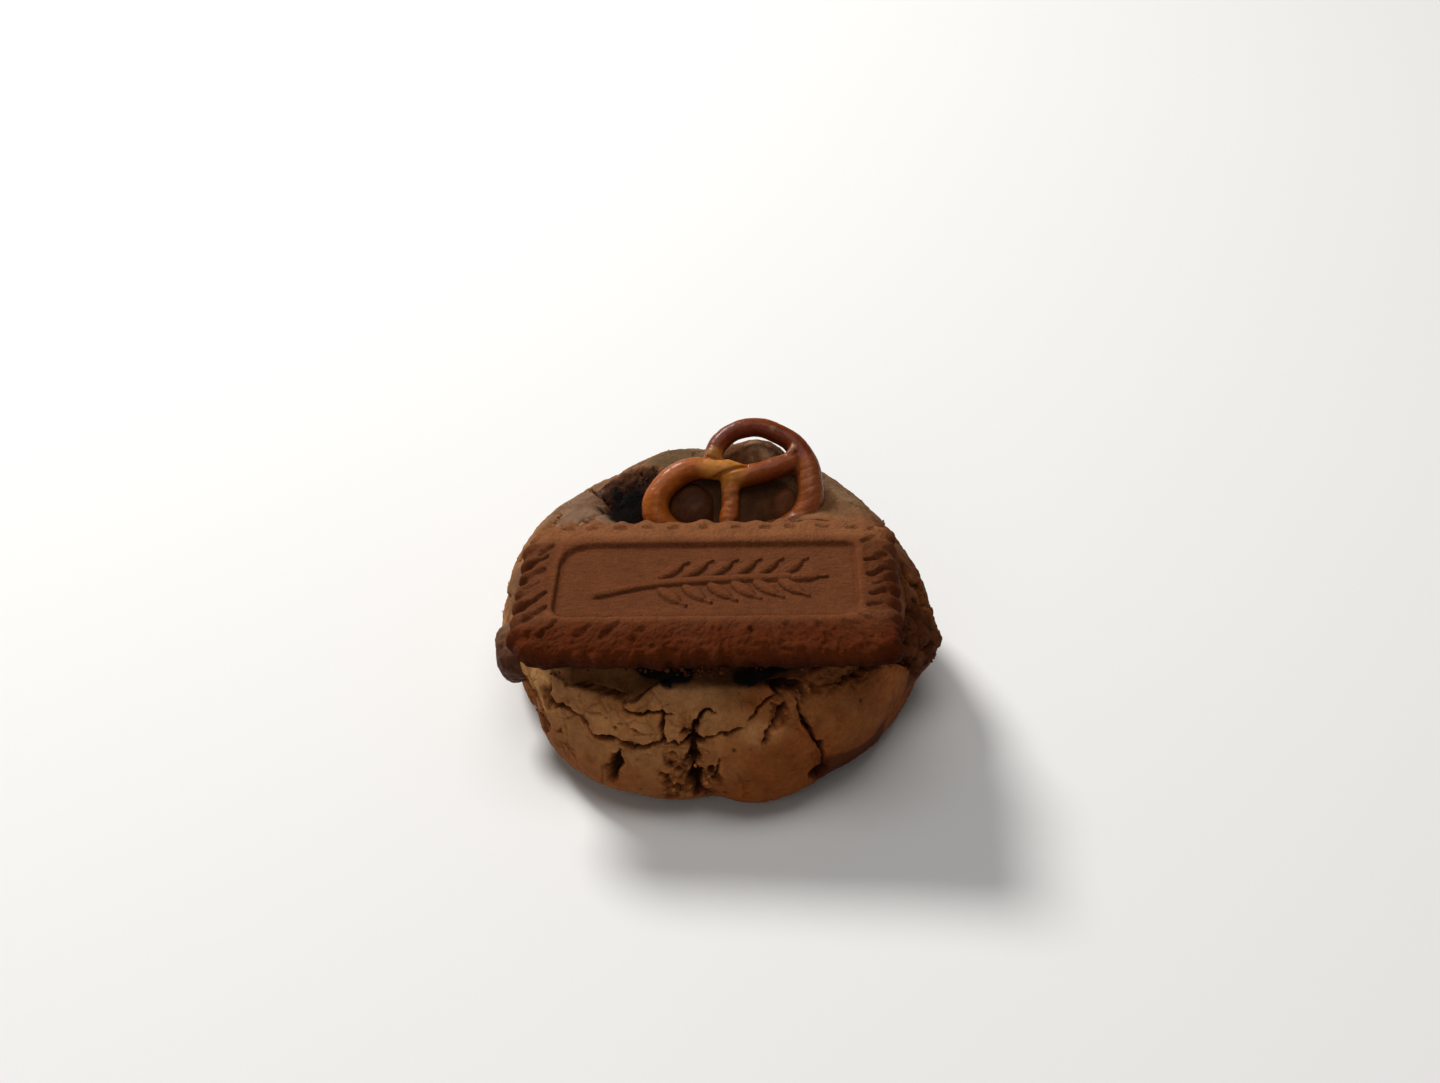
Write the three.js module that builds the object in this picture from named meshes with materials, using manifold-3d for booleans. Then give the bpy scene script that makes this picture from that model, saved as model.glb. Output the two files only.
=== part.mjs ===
// A thick domed cookie with a cracked crust. A rectangular spiced biscuit lies on its top front,
// a small glazed pretzel leans back behind the biscuit, and chunks of milk and dark chocolate sit in the dough.
// Millimetres, +X right, +Y away from the viewer, +Z up, origin under the middle of the base.

import * as THREE from 'three';
import { mergeVertices } from 'three/addons/utils/BufferGeometryUtils.js';
import Module from 'manifold-3d';

const wasm = await Module();
wasm.setup();

// ---- driving sizes -------------------------------------------------------------------------
const GAP = 0.3; // clearance between pieces that touch

const COOKIE = {
  radius: 36.0, // at the widest level
  waist: 8.0, // height of the widest level
  rise: 28.6, // from the widest level to the crown
  drop: 9.6, // how far the underside would reach below the widest level; the base cuts it flat
  upPower: 2.35, // roundness of the dome
  downPower: 2.9, // roundness of the lower edge
  around: 60, // facets round the body
  rings: 21, // facets from base edge to crown
};

// Swellings and hollows of the dough: centre, reach along x, y, z, and height.
const SWELLS = [
  { name: 'hollow behind the biscuit', at: [0, 6, 36], reach: [19, 6.5, 12], height: -8.2 },
  { name: 'hollow, left end', at: [-17, 6, 31], reach: [8, 6, 10], height: -2.2 },
  { name: 'slump under the biscuit front', at: [-4, -30, 26], reach: [30, 8, 7], height: -2.3 },
  { name: 'back crown lump', at: [6.4, 17, 34], reach: [5.6, 7, 8], height: 2.9 },
  { name: 'back left lump', at: [-8, 19, 33], reach: [6.5, 7, 8], height: 1 },
  { name: 'left back slope', at: [-20, 16, 30], reach: [8, 9, 9], height: -0.4 },
  { name: 'left shoulder', at: [-28, 4, 23], reach: [9, 11, 8], height: 1.1 },
  { name: 'left side lump', at: [-35, -9, 15], reach: [4, 5, 4.6], height: 0.8 },
  { name: 'right side lump', at: [35.5, -5, 12], reach: [4.6, 5.5, 5], height: 1.4 },
  { name: 'right undercut', at: [36, -6, 5.8], reach: [4.5, 7, 3], height: -2 },
  { name: 'right front tuck', at: [32, -16, 7], reach: [8, 10, 7], height: -2.6 },
  { name: 'right front block', at: [22, -28, 15], reach: [9, 8, 7], height: 1.3 },
  { name: 'right front foot', at: [20.5, -29, 2.5], reach: [7.5, 7, 4.2], height: -1.9 },
  { name: 'front middle plate', at: [7, -36, 9], reach: [8, 9, 9], height: 0.9 },
  { name: 'front rift', at: [-0.4, -36, 3], reach: [3.6, 9, 5.5], height: -1.7 },
  { name: 'lower left tuck', at: [-32, -15, 7], reach: [8, 10, 7], height: -2.6 },
  { name: 'left undercut', at: [-35, -5.5, 5], reach: [4.5, 6, 3.6], height: -1.3 },
  { name: 'lower left plate', at: [-17, -31, 8], reach: [7, 8, 7], height: 1.2 },
  { name: 'right back swell', at: [27, 16, 22], reach: [10, 10, 9], height: -0.8 },
  { name: 'back swell', at: [4, 34, 14], reach: [13, 9, 9], height: 1 },
  { name: 'back left tuck', at: [-22, 26, 12], reach: [8, 8, 9], height: -1 },
  { name: 'crater', at: [-15.8, 9.4, 31.6], reach: [4, 4.2, 4], height: -4.2 },
  { name: 'hollow in the right loop', at: [8.5, 9, 34.4], reach: [5, 4.2, 6], height: -2.4 },
  { name: 'hollow in the left loop', at: [-3.5, 9, 35], reach: [5, 4.5, 6], height: -1.6 },
];

// The main rifts of the crust, each along directions from the dough's middle (round the body, upwards, in
// degrees), with its width at the surface and its depth.
const RIFTS = [
  { way: [[-141, 13], [-133, 13], [-127, 12], [-120, 8], [-109, 9], [-98, 13]], width: 1.7, depth: 1.9 },
  { way: [[-114, 20], [-107, 20], [-103, 12]], width: 1.2, depth: 1.5 },
  { way: [[-90, 21], [-94, 18], [-96, 13], [-95, 6], [-96, -4]], width: 2.8, depth: 2.4 },
  { way: [[-93, 13], [-85, 17], [-77, 21], [-71, 25]], width: 1.5, depth: 1.7 },
  { way: [[-66, 23], [-66, 13], [-63, 4]], width: 1.3, depth: 1.6 },
  { way: [[-116, 8], [-116, -2]], width: 1.8, depth: 2.2 },
  { way: [[-53, 21], [-42, 21], [-34, 19], [-26, 9]], width: 1.4, depth: 1.6 },
  { way: [[-4, 31], [-7, 22], [-3, 12]], width: 1.6, depth: 1.7 },
  { way: [[18, 30], [30, 20], [26, 8], [34, -4]], width: 1.6, depth: 1.8 },
  { way: [[30, 20], [50, 24], [66, 18], [72, 6]], width: 1.8, depth: 1.9 },
  { way: [[66, 18], [82, 30], [104, 34]], width: 1.5, depth: 1.6 },
  { way: [[112, 28], [110, 14], [118, 4], [114, -6]], width: 2.0, depth: 2.2 },
  { way: [[118, 6], [136, 12], [152, 8]], width: 1.5, depth: 1.7 },
  { way: [[172, 26], [176, 12], [170, 0]], width: 1.4, depth: 1.6 },
];

const BISCUIT = {
  length: 61.5, width: 32.7, thickness: 5.0, // over the border, and to the top of the rim
  tilt: 5.5, turn: -1.8, roll: -2.4, // degrees: front edge down, seen from above, right end up
  at: [-1.4, -13.9, 27.3], // middle of the underside
  corners: [4.8, 7.4, 6.6, 2.8], // outline corner radii: back right, back left, front left, front right
  border: 8.3, // from the front and back edges to the panel
  endBorder: 7.1, // from the short ends to the panel
  taper: 0.04, // the back edge is this share shorter than the middle
  rimWidth: 1.3,
  panelDepth: 0.8,
  teeth: 44, toothDepth: 0.8, // pressed notches round the border
  around: 88,
};

const SPRIG = { stem: 30, shift: -2.2, grains: 6, grainLength: 6.2, grainWidth: 2.9, spread: 3.2, turn: 36, height: 0.85 };

const PRETZEL = {
  at: [0.2, 5.9, 30.0], // where the middle bar meets the dough
  lean: 38, // degrees above horizontal
  archRod: 1.35, sideRod: 2.2, strandRod: 1.85, barRod: 1.65, lobeRod: 2.2,
};

const CHUNKS = [
  // ellipsoid chunks: half sizes, centre, lean about x, turn about z
  { name: 'milk_chunk_left', half: [3.6, 4.6, 4.6], at: [-32.8, -10.0, 14.3], lean: 0, turn: 12, milk: true },
  { name: 'milk_chunk_lobe', half: [4.8, 4.7, 3.8], at: [-4.4, 9.2, 28.5], lean: 38, turn: 0, milk: true },
  { name: 'milk_chunk_back', half: [3.0, 3.9, 3.1], at: [10.9, 9.3, 28.7], lean: 38, turn: -20, milk: true },
  { name: 'dark_chunk_crater', half: [3.8, 4.0, 2.5], at: [-15.0, 8.8, 26.2], lean: 8, turn: -15 },
  { name: 'dark_chunk_front_left', half: [5.2, 3.4, 2.2], at: [-7.4, -25.8, 24.0], lean: 0, turn: 4 },
  { name: 'dark_chunk_front_right', half: [3.9, 3.3, 2.0], at: [7.0, -25.8, 24.2], lean: 0, turn: -6 },
];

const COLOURS = {
  crust: 0x8f6844, biscuit: 0x87502c, pretzel: 0x9a4f1f, milk: 0x4b2c19, dark: 0x170f0c,
};

// ---- helpers -------------------------------------------------------------------------------
const rad = (deg) => (deg * Math.PI) / 180;

function solid(geometry) {
  const g = geometry.clone();
  for (const name of Object.keys(g.attributes)) if (name !== 'position') g.deleteAttribute(name);
  const m = mergeVertices(g, 1e-4);
  const made = new wasm.Manifold(
    new wasm.Mesh({
      numProp: 3,
      vertProperties: new Float32Array(m.attributes.position.array),
      triVerts: new Uint32Array(m.index.array),
    }),
  );
  return made;
}

function geometryOf(manifold) {
  const mesh = manifold.getMesh();
  const g = new THREE.BufferGeometry();
  const n = mesh.numProp;
  const count = mesh.vertProperties.length / n;
  const position = new Float32Array(count * 3);
  for (let i = 0; i < count; i++) for (let k = 0; k < 3; k++) position[3 * i + k] = mesh.vertProperties[n * i + k];
  g.setAttribute('position', new THREE.BufferAttribute(position, 3));
  g.setIndex(new THREE.BufferAttribute(new Uint32Array(mesh.triVerts), 1));
  g.computeVertexNormals();
  return g;
}

function meshOf(name, shape, colour, roughness) {
  const geometry = shape.isBufferGeometry ? shape : geometryOf(shape);
  const mesh = new THREE.Mesh(geometry, new THREE.MeshStandardMaterial({ color: colour, roughness, metalness: 0 }));
  mesh.name = name;
  return mesh;
}

function signedVolume(g) {
  const p = g.attributes.position, ix = g.index;
  const a = new THREE.Vector3(), b = new THREE.Vector3(), c = new THREE.Vector3();
  let sum = 0;
  for (let i = 0; i < ix.count; i += 3) {
    a.fromBufferAttribute(p, ix.getX(i));
    b.fromBufferAttribute(p, ix.getX(i + 1));
    c.fromBufferAttribute(p, ix.getX(i + 2));
    sum += a.dot(b.cross(c)) / 6;
  }
  return sum;
}

// A closed skin through rings of equal length, with a point at each end.
function ringSkin(rings, first, last) {
  const n = rings[0].length;
  const position = [...first];
  for (const ring of rings) for (const p of ring) position.push(...p);
  position.push(...last);
  const index = [];
  for (let i = 0; i < n; i++) index.push(0, 1 + ((i + 1) % n), 1 + i);
  for (let r = 0; r < rings.length - 1; r++) {
    for (let i = 0; i < n; i++) {
      const j = (i + 1) % n;
      const a = 1 + r * n + i, b = 1 + r * n + j, c = a + n, d = b + n;
      index.push(a, b, d, a, d, c);
    }
  }
  const base = 1 + (rings.length - 1) * n, end = 1 + rings.length * n;
  for (let i = 0; i < n; i++) index.push(end, base + i, base + ((i + 1) % n));
  const g = new THREE.BufferGeometry();
  g.setAttribute('position', new THREE.BufferAttribute(new Float32Array(position), 3));
  g.setIndex(index);
  if (signedVolume(g) < 0) {
    for (let i = 0; i < index.length; i += 3) [index[i], index[i + 1]] = [index[i + 1], index[i]];
    g.setIndex(index);
  }
  return g;
}

// ---- the baked dough -----------------------------------------------------------------------
function doughRadius(d) {
  const rho = Math.hypot(d.x, d.y);
  const up = d.z >= 0;
  const p = up ? COOKIE.upPower : COOKIE.downPower;
  const h = up ? COOKIE.rise : COOKIE.drop;
  let r = 1 / Math.pow(Math.pow(rho / COOKIE.radius, p) + Math.pow(Math.abs(d.z) / h, p), 1 / p);
  const x = d.x * r, y = d.y * r, z = d.z * r + COOKIE.waist;
  for (const s of SWELLS) {
    const q = ((x - s.at[0]) / s.reach[0]) ** 2 + ((y - s.at[1]) / s.reach[1]) ** 2 + ((z - s.at[2]) / s.reach[2]) ** 2;
    r += s.height * Math.exp(-q);
  }
  if (d.z < 0) r = Math.min(r, -COOKIE.waist / d.z);
  return r;
}

function doughBody() {
  const rings = [];
  const lowest = -Math.atan2(COOKIE.waist, 0.72 * COOKIE.radius);
  for (let k = 0; k < COOKIE.rings; k++) {
    const t = k / COOKIE.rings;
    const el = lowest + (Math.PI / 2 - lowest) * t;
    const ring = [];
    for (let i = 0; i < COOKIE.around; i++) {
      const az = (2 * Math.PI * i) / COOKIE.around;
      const d = new THREE.Vector3(Math.cos(el) * Math.cos(az), Math.cos(el) * Math.sin(az), Math.sin(el));
      const r = doughRadius(d);
      ring.push([d.x * r, d.y * r, Math.max(0, d.z * r + COOKIE.waist)]);
    }
    rings.push(ring);
  }
  const crown = doughRadius(new THREE.Vector3(0, 0, 1)) + COOKIE.waist;
  return ringSkin(rings, [0, 0, 0], [0, 0, crown]);
}

// A wedge that follows the dough along one rift, its sharp edge inwards.
function riftWedge(rift) {
  const rings = [];
  const at = (az, el, across, lift) => {
    const d = new THREE.Vector3(Math.cos(rad(el)) * Math.cos(rad(az)), Math.cos(rad(el)) * Math.sin(rad(az)), Math.sin(rad(el)));
    const p = d.clone().multiplyScalar(doughRadius(d) + lift).add(new THREE.Vector3(0, 0, COOKIE.waist));
    return p.addScaledVector(across, 1);
  };
  const way = rift.way, last = way.length - 1;
  for (let i = 0; i <= last; i++) {
    const [a0, e0] = way[Math.max(0, i - 1)], [a1, e1] = way[Math.min(last, i + 1)];
    const none = new THREE.Vector3();
    const along = at(a1, e1, none, 0).sub(at(a0, e0, none, 0)).normalize();
    const out = new THREE.Vector3(Math.cos(rad(way[i][1])) * Math.cos(rad(way[i][0])), Math.cos(rad(way[i][1])) * Math.sin(rad(way[i][0])), Math.sin(rad(way[i][1])));
    const side = new THREE.Vector3().crossVectors(out, along).normalize();
    const w = (i === 0 || i === last ? 0.3 : 0.5) * rift.width * (1 + 1 / rift.depth);
    const d = (i === 0 || i === last ? 0.35 : 1) * rift.depth;
    rings.push([
      at(way[i][0], way[i][1], side.clone().multiplyScalar(w), 1).toArray(),
      at(way[i][0], way[i][1], side.clone().multiplyScalar(-w), 1).toArray(),
      at(way[i][0], way[i][1], none, -d).toArray(),
    ]);
  }
  const middle = (ring) => [0, 1, 2].map((k) => (ring[0][k] + ring[1][k] + ring[2][k]) / 3);
  return solid(ringSkin(rings, middle(rings[0]), middle(rings[last])));
}

// ---- the biscuit ---------------------------------------------------------------------------
// A point of a rounded rectangle of half sizes a, b, with its outward normal. Corners go counter-clockwise
// from back right, and t from 0 to 1 starts in the middle of the right end.
function outline(t, a, b, corners) {
  const [c0, c1, c2, c3] = corners;
  const q = Math.PI / 2;
  const legs = [
    [b - c0, (u) => [a, u, 1, 0]],
    [q * c0, (u) => [a - c0 + c0 * Math.cos(u / c0), b - c0 + c0 * Math.sin(u / c0), Math.cos(u / c0), Math.sin(u / c0)]],
    [2 * a - c0 - c1, (u) => [a - c0 - u, b, 0, 1]],
    [q * c1, (u) => [-a + c1 - c1 * Math.sin(u / c1), b - c1 + c1 * Math.cos(u / c1), -Math.sin(u / c1), Math.cos(u / c1)]],
    [2 * b - c1 - c2, (u) => [-a, b - c1 - u, -1, 0]],
    [q * c2, (u) => [-a + c2 - c2 * Math.cos(u / c2), -b + c2 - c2 * Math.sin(u / c2), -Math.cos(u / c2), -Math.sin(u / c2)]],
    [2 * a - c2 - c3, (u) => [-a + c2 + u, -b, 0, -1]],
    [q * c3, (u) => [a - c3 + c3 * Math.sin(u / c3), -b + c3 - c3 * Math.cos(u / c3), Math.sin(u / c3), -Math.cos(u / c3)]],
    [b - c3, (u) => [a, -b + c3 + u, 1, 0]],
  ];
  let s = (((t % 1) + 1) % 1) * legs.reduce((sum, leg) => sum + leg[0], 0);
  for (const [length, at] of legs) {
    if (s <= length) return at(s);
    s -= length;
  }
  return legs[0][1](0);
}

// The biscuit, lying flat with its underside at z 0.
function biscuitBody() {
  const B = BISCUIT;
  const a = B.length / 2, b = B.width / 2, T = B.thickness;
  // profile from the underside up and in: share of the border, height, share of the tooth depth
  const profile = [
    [0.16, 0, 0.5], [0, 1.8, 1], [0.06, 3.2, 0.95], [0.3, 4.3, 0.75], [0.64, T - 0.2, 0.35],
    [0.82, T, 0], [0.94, T - 0.12, 0], [1.02, T - B.panelDepth, 0],
  ];
  const rings = profile.map(([share, z, tooth]) => {
    const ring = [];
    for (let i = 0; i < B.around; i++) {
      const t = i / B.around;
      const corners = B.corners.map((c) => Math.max(1.6, c - 2.2 * share));
      const [x, y, nx, ny] = outline(t, a - B.endBorder * share, b - B.border * share, corners);
      const cut = B.toothDepth * tooth * (0.5 - 0.5 * Math.cos(2 * Math.PI * B.teeth * t));
      const px = (x - nx * cut * 0.6) * (1 - (B.taper * (y + b)) / (2 * b));
      ring.push([px, y - ny * cut * 0.6, z > 0 ? z - cut * 0.5 : 0]);
    }
    return ring;
  });
  return solid(ringSkin(rings, [0, 0, 0], [0, 0, T - B.panelDepth]));
}

// The room that the biscuit has pressed free: its outline with the gap, from its underside upwards.
function biscuitRoomBody() {
  const B = BISCUIT;
  const rings = [-GAP, 20].map((z) => {
    const ring = [];
    for (let i = 0; i < 66; i++) {
      const [x, y] = outline(i / 66, B.length / 2 + GAP, B.width / 2 + GAP, B.corners);
      ring.push([x * (1 - (B.taper * (y + B.width / 2)) / B.width) , y, z]);
    }
    return ring;
  });
  return solid(ringSkin(rings, [0, 0, -GAP], [0, 0, 20]));
}

// A flattened bead standing in the panel.
function bead(length, width, height, x, y, turn, sink) {
  const g = new THREE.SphereGeometry(1, 8, 4);
  g.scale(length / 2, width / 2, height);
  g.rotateZ(rad(turn));
  g.translate(x, y, BISCUIT.thickness - BISCUIT.panelDepth - sink);
  return solid(g);
}

// A raised ear of wheat: a curved stem with paired grains.
function sprig() {
  const S = SPRIG;
  const curve = new THREE.CatmullRomCurve3([
    new THREE.Vector3(S.shift - S.stem / 2, -3.0, 0), new THREE.Vector3(S.shift - S.stem / 5, -0.6, 0),
    new THREE.Vector3(S.shift + S.stem / 6, 0.4, 0), new THREE.Vector3(S.shift + S.stem / 2, 0.8, 0),
  ]);
  const floor = BISCUIT.thickness - BISCUIT.panelDepth - 0.09;
  const rings = [];
  for (let i = 0; i <= 8; i++) {
    const p = curve.getPoint(i / 8), t = curve.getTangent(i / 8);
    const ring = [];
    for (let j = 0; j < 6; j++) {
      const w = 0.95 * Math.cos((Math.PI * j) / 3), h = S.height * 0.8 * Math.sin((Math.PI * j) / 3);
      ring.push([p.x - t.y * w, p.y + t.x * w, floor + h]);
    }
    rings.push(ring);
  }
  const head = curve.getPoint(0), tip = curve.getPoint(1);
  const parts = [solid(ringSkin(rings, [head.x - 0.5, head.y, floor + 0.011], [tip.x + 0.5, tip.y, floor + 0.013]))];
  for (let i = 0; i < S.grains; i++) {
    const share = i / (S.grains - 1);
    const p = curve.getPoint(0.36 + 0.6 * share);
    const reach = S.spread * (1 - 0.3 * share);
    for (const side of [-1, 1]) parts.push(bead(S.grainLength, S.grainWidth, S.height, p.x + 1.3, p.y + side * reach, side * S.turn + 0.7 * i, 0.12 + 0.017 * i + 0.009 * side));
  }
  parts.push(bead(S.grainLength, S.grainWidth, S.height, tip.x + 2.4, tip.y, 4, 0.16));
  return parts;
}

function onBiscuit(manifold) {
  const B = BISCUIT;
  return manifold.rotate([0, 0, B.turn]).rotate([0, B.roll, 0]).rotate([B.tilt, 0, 0]).translate(B.at);
}

// ---- the pretzel ---------------------------------------------------------------------------
// Control points in the pretzel's own plane: across, up, off the plane; then the rod radius.
function pretzelRods() {
  const P = PRETZEL;
  return [
    { // arch and right side, down to the hidden foot of the right lobe
      radii: [P.archRod, P.archRod, P.archRod, P.archRod * 1.05, P.sideRod * 0.95, P.sideRod, P.sideRod, P.lobeRod, P.barRod],
      points: [
        [-0.9, 9.7, 0.3], [-0.3, 12.0, 0.1], [1.7, 14.2, 0], [4.3, 15.3, 0], [7.0, 15.4, 0], [9.7, 14.4, 0], [12.2, 12.6, 0],
        [14.1, 9.8, 0], [15.1, 6.4, 0], [15.1, 2.8, -0.1], [13.2, -0.4, -0.7], [8.4, -2.4, -1.8], [2.6, -2.3, -1.7],
      ],
    },
    { // left lobe
      radii: [P.strandRod, P.strandRod, P.lobeRod * 0.95, P.lobeRod, P.lobeRod, P.lobeRod, P.barRod],
      points: [
        [4.2, 6.8, 0.9], [0.6, 7.9, 0.9], [-2.4, 8.3, 0.6], [-5.0, 7.9, 0.3], [-7.6, 6.5, 0.1], [-9.6, 4.2, 0],
        [-10.3, 1.4, -0.1], [-9.0, -1.4, -0.7], [-4.6, -2.9, -1.8], [1.4, -2.5, -1.7],
      ],
    },
    { // strand from the right side to the crossing
      radii: [P.strandRod * 0.8, P.strandRod, P.strandRod, P.strandRod],
      points: [[13.6, 10.3, 0.3], [10.6, 8.7, 0.7], [7.8, 7.7, 0.9], [5.2, 7.0, 0.9], [2.2, 6.4, 0.6]],
    },
    { // twisted bar
      radii: [P.barRod * 1.05, P.barRod * 0.95, P.barRod],
      points: [[2.0, 6.6, 0.4], [2.0, 3.0, 0.1], [1.8, -0.4, -0.6], [1.8, -2.2, -1.5]],
    },
  ];
}

function rod(spec, grow, sides) {
  const points = spec.points.map((p) => new THREE.Vector3(p[0], p[1], p[2]));
  const curve = new THREE.CatmullRomCurve3(points, false, 'centripetal');
  const length = curve.getLength();
  const steps = Math.max(5, Math.round(length / 2.1));
  const rings = [];
  const off = new THREE.Vector3(0, 0, 1);
  for (let i = 0; i <= steps; i++) {
    const u = i / steps;
    const c = curve.getPointAt(u);
    const t = curve.getTangentAt(u);
    const side = new THREE.Vector3().crossVectors(off, t).normalize();
    const lift = new THREE.Vector3().crossVectors(t, side).normalize();
    const f = u * (spec.radii.length - 1), k = Math.min(spec.radii.length - 2, Math.floor(f));
    const r = spec.radii[k] + (spec.radii[k + 1] - spec.radii[k]) * (f - k) + grow;
    const ring = [];
    for (let j = 0; j < sides; j++) {
      const a = (2 * Math.PI * j) / sides;
      const p = c.clone().addScaledVector(side, r * Math.cos(a)).addScaledVector(lift, r * Math.sin(a));
      ring.push([p.x, p.y, p.z]);
    }
    rings.push(ring);
  }
  const head = curve.getPointAt(0).addScaledVector(curve.getTangentAt(0), -0.5 * spec.radii[0] - grow);
  const tail = curve.getPointAt(1).addScaledVector(curve.getTangentAt(1), 0.5 * spec.radii.at(-1) + grow);
  return solid(ringSkin(rings, head.toArray(), tail.toArray()));
}

function pretzelBody(grow = 0) {
  const sides = grow ? 8 : 9;
  const rods = pretzelRods().map((spec) => rod(spec, grow, sides));
  let all = rods[0];
  for (const r of rods.slice(1)) all = all.add(r);
  return all.rotate([PRETZEL.lean, 0, 0]).translate(PRETZEL.at);
}

// ---- the chocolate -------------------------------------------------------------------------
function chunkBody(c, grow = 0) {
  const g = new THREE.IcosahedronGeometry(1, 2);
  const p = g.attributes.position;
  for (let i = 0; i < p.count; i++) {
    const v = new THREE.Vector3().fromBufferAttribute(p, i);
    const bump = 1 + 0.05 * Math.sin(3.1 * v.x + 1.3 * c.at[0]) + 0.05 * Math.cos(2.7 * v.y + 2.1 * v.z + c.at[1]);
    p.setXYZ(i, v.x * (c.half[0] * bump + grow), v.y * (c.half[1] * bump + grow), v.z * (c.half[2] * bump + grow));
  }
  g.rotateX(rad(c.lean));
  g.rotateZ(rad(c.turn));
  g.translate(...c.at);
  return solid(g);
}

// ---- assembly ------------------------------------------------------------------------------
const biscuit = onBiscuit(sprig().reduce((all, s) => all.add(s), biscuitBody()));
const biscuitRoom = onBiscuit(biscuitRoomBody());
const pretzel = pretzelBody().subtract(biscuitRoom);
const pretzelRoom = pretzelBody(GAP);

let dough = solid(doughBody());
for (const rift of RIFTS) dough = dough.subtract(riftWedge(rift));
dough = dough.subtract(biscuitRoom).subtract(pretzelRoom);
const chunks = [];
for (const c of CHUNKS) {
  dough = dough.subtract(chunkBody(c, GAP));
  const body = chunkBody(c).subtract(biscuitRoom).subtract(pretzelRoom);
  chunks.push(meshOf(c.name, body, c.milk ? COLOURS.milk : COLOURS.dark, c.milk ? 0.55 : 0.3));
}

const cookie = new THREE.Group();
cookie.add(meshOf('cookie_dough', dough, COLOURS.crust, 0.9));
cookie.add(meshOf('spiced_biscuit', biscuit, COLOURS.biscuit, 0.85));
cookie.add(meshOf('pretzel', pretzel, COLOURS.pretzel, 0.35));
for (const c of chunks) cookie.add(c);

export default cookie;
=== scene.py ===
# Looks of a thick cracked cookie that carries a rectangular spiced biscuit, a glazed mini pretzel and chocolate
# chunks. Sizes in the making are millimetres; meshes and everything placed in the scene are metres.
import math

import bpy
import numpy as np
from mathutils import Matrix, Vector


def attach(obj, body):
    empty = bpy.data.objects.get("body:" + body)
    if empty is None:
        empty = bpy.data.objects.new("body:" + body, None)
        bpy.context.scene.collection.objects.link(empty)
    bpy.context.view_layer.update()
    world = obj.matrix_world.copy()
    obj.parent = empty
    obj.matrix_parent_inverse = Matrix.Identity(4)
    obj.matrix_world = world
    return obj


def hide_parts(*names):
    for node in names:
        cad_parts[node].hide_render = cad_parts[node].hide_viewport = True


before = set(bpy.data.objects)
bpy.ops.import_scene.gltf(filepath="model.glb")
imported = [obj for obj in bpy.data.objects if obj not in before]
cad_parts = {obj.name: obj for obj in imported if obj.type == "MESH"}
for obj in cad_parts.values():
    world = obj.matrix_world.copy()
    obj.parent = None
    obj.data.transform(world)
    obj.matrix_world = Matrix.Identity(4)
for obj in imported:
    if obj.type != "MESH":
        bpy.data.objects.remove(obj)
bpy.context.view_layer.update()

MM = 0.001
RNG = np.random.default_rng(20417)


# ---- noise -----------------------------------------------------------------------------------
class Noise:
    """Seeded smooth noise on a repeating lattice, about -1 to 1."""

    def __init__(self, seed, n=32):
        rng = np.random.default_rng(seed)
        g = rng.normal(size=(n**3, 3))
        self.g = (g / np.linalg.norm(g, axis=1, keepdims=True)).astype(np.float32)
        self.n, self.off = n, rng.uniform(0, n, 3)

    def __call__(self, P, scale):
        q = P / scale + self.off
        low = np.floor(q)
        f = (q - low).astype(np.float32)
        i0 = low.astype(np.int64) % self.n
        i1 = (i0 + 1) % self.n
        w = f * f * f * (f * (f * 6 - 15) + 10)
        total = np.zeros(len(P), np.float32)
        for dx in (0, 1):
            ix, wx = (i1[:, 0], w[:, 0]) if dx else (i0[:, 0], 1 - w[:, 0])
            for dy in (0, 1):
                iy, wy = (i1[:, 1], w[:, 1]) if dy else (i0[:, 1], 1 - w[:, 1])
                row = (ix * self.n + iy) * self.n
                for dz in (0, 1):
                    iz, wz = (i1[:, 2], w[:, 2]) if dz else (i0[:, 2], 1 - w[:, 2])
                    g = self.g[row + iz]
                    d = g[:, 0] * (f[:, 0] - dx) + g[:, 1] * (f[:, 1] - dy) + g[:, 2] * (f[:, 2] - dz)
                    total += d * wx * wy * wz
        return total * 1.7


N1, N2, N3, N4, N5, N6 = (Noise(s) for s in (11, 23, 37, 41, 59, 67))


def layered(noise, P, scale, octaves=3, gain=0.5):
    total, amp, size = 0.0, 1.0, 0.0
    for _ in range(octaves):
        total = total + amp * noise(P, scale)
        size += amp
        scale, amp = scale * 0.47, amp * gain
    return total / size


def cells(P, scale, seed):
    """Distance to the nearest and second nearest point of a jittered lattice, in mm, and a random number of the nearest."""
    n = 24
    rng = np.random.default_rng(seed)
    jitter = rng.uniform(0.08, 0.92, (n**3, 3)).astype(np.float32)
    mark = rng.uniform(0, 1, n**3).astype(np.float32)
    q = P / scale + 500.0
    low = np.floor(q)
    f = (q - low).astype(np.float32)
    base = low.astype(np.int64)
    d1 = np.full(len(P), 9.0, np.float32)
    d2 = np.full(len(P), 9.0, np.float32)
    who = np.zeros(len(P), np.float32)
    for dx in (-1, 0, 1):
        for dy in (-1, 0, 1):
            for dz in (-1, 0, 1):
                i = (base + (dx, dy, dz)) % n
                k = (i[:, 0] * n + i[:, 1]) * n + i[:, 2]
                v = jitter[k] + np.array((dx, dy, dz), np.float32) - f
                d = np.sqrt((v * v).sum(1))
                first = d < d1
                d2 = np.where(first, d1, np.minimum(d2, d))
                who = np.where(first, mark[k], who)
                d1 = np.where(first, d, d1)
    return d1 * scale, d2 * scale, who


def ease(x, a, b):
    """0 below a, 1 above b, smooth between; b may be below a."""
    t = np.clip((x - a) / (b - a), 0, 1)
    return t * t * (3 - 2 * t)


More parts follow.
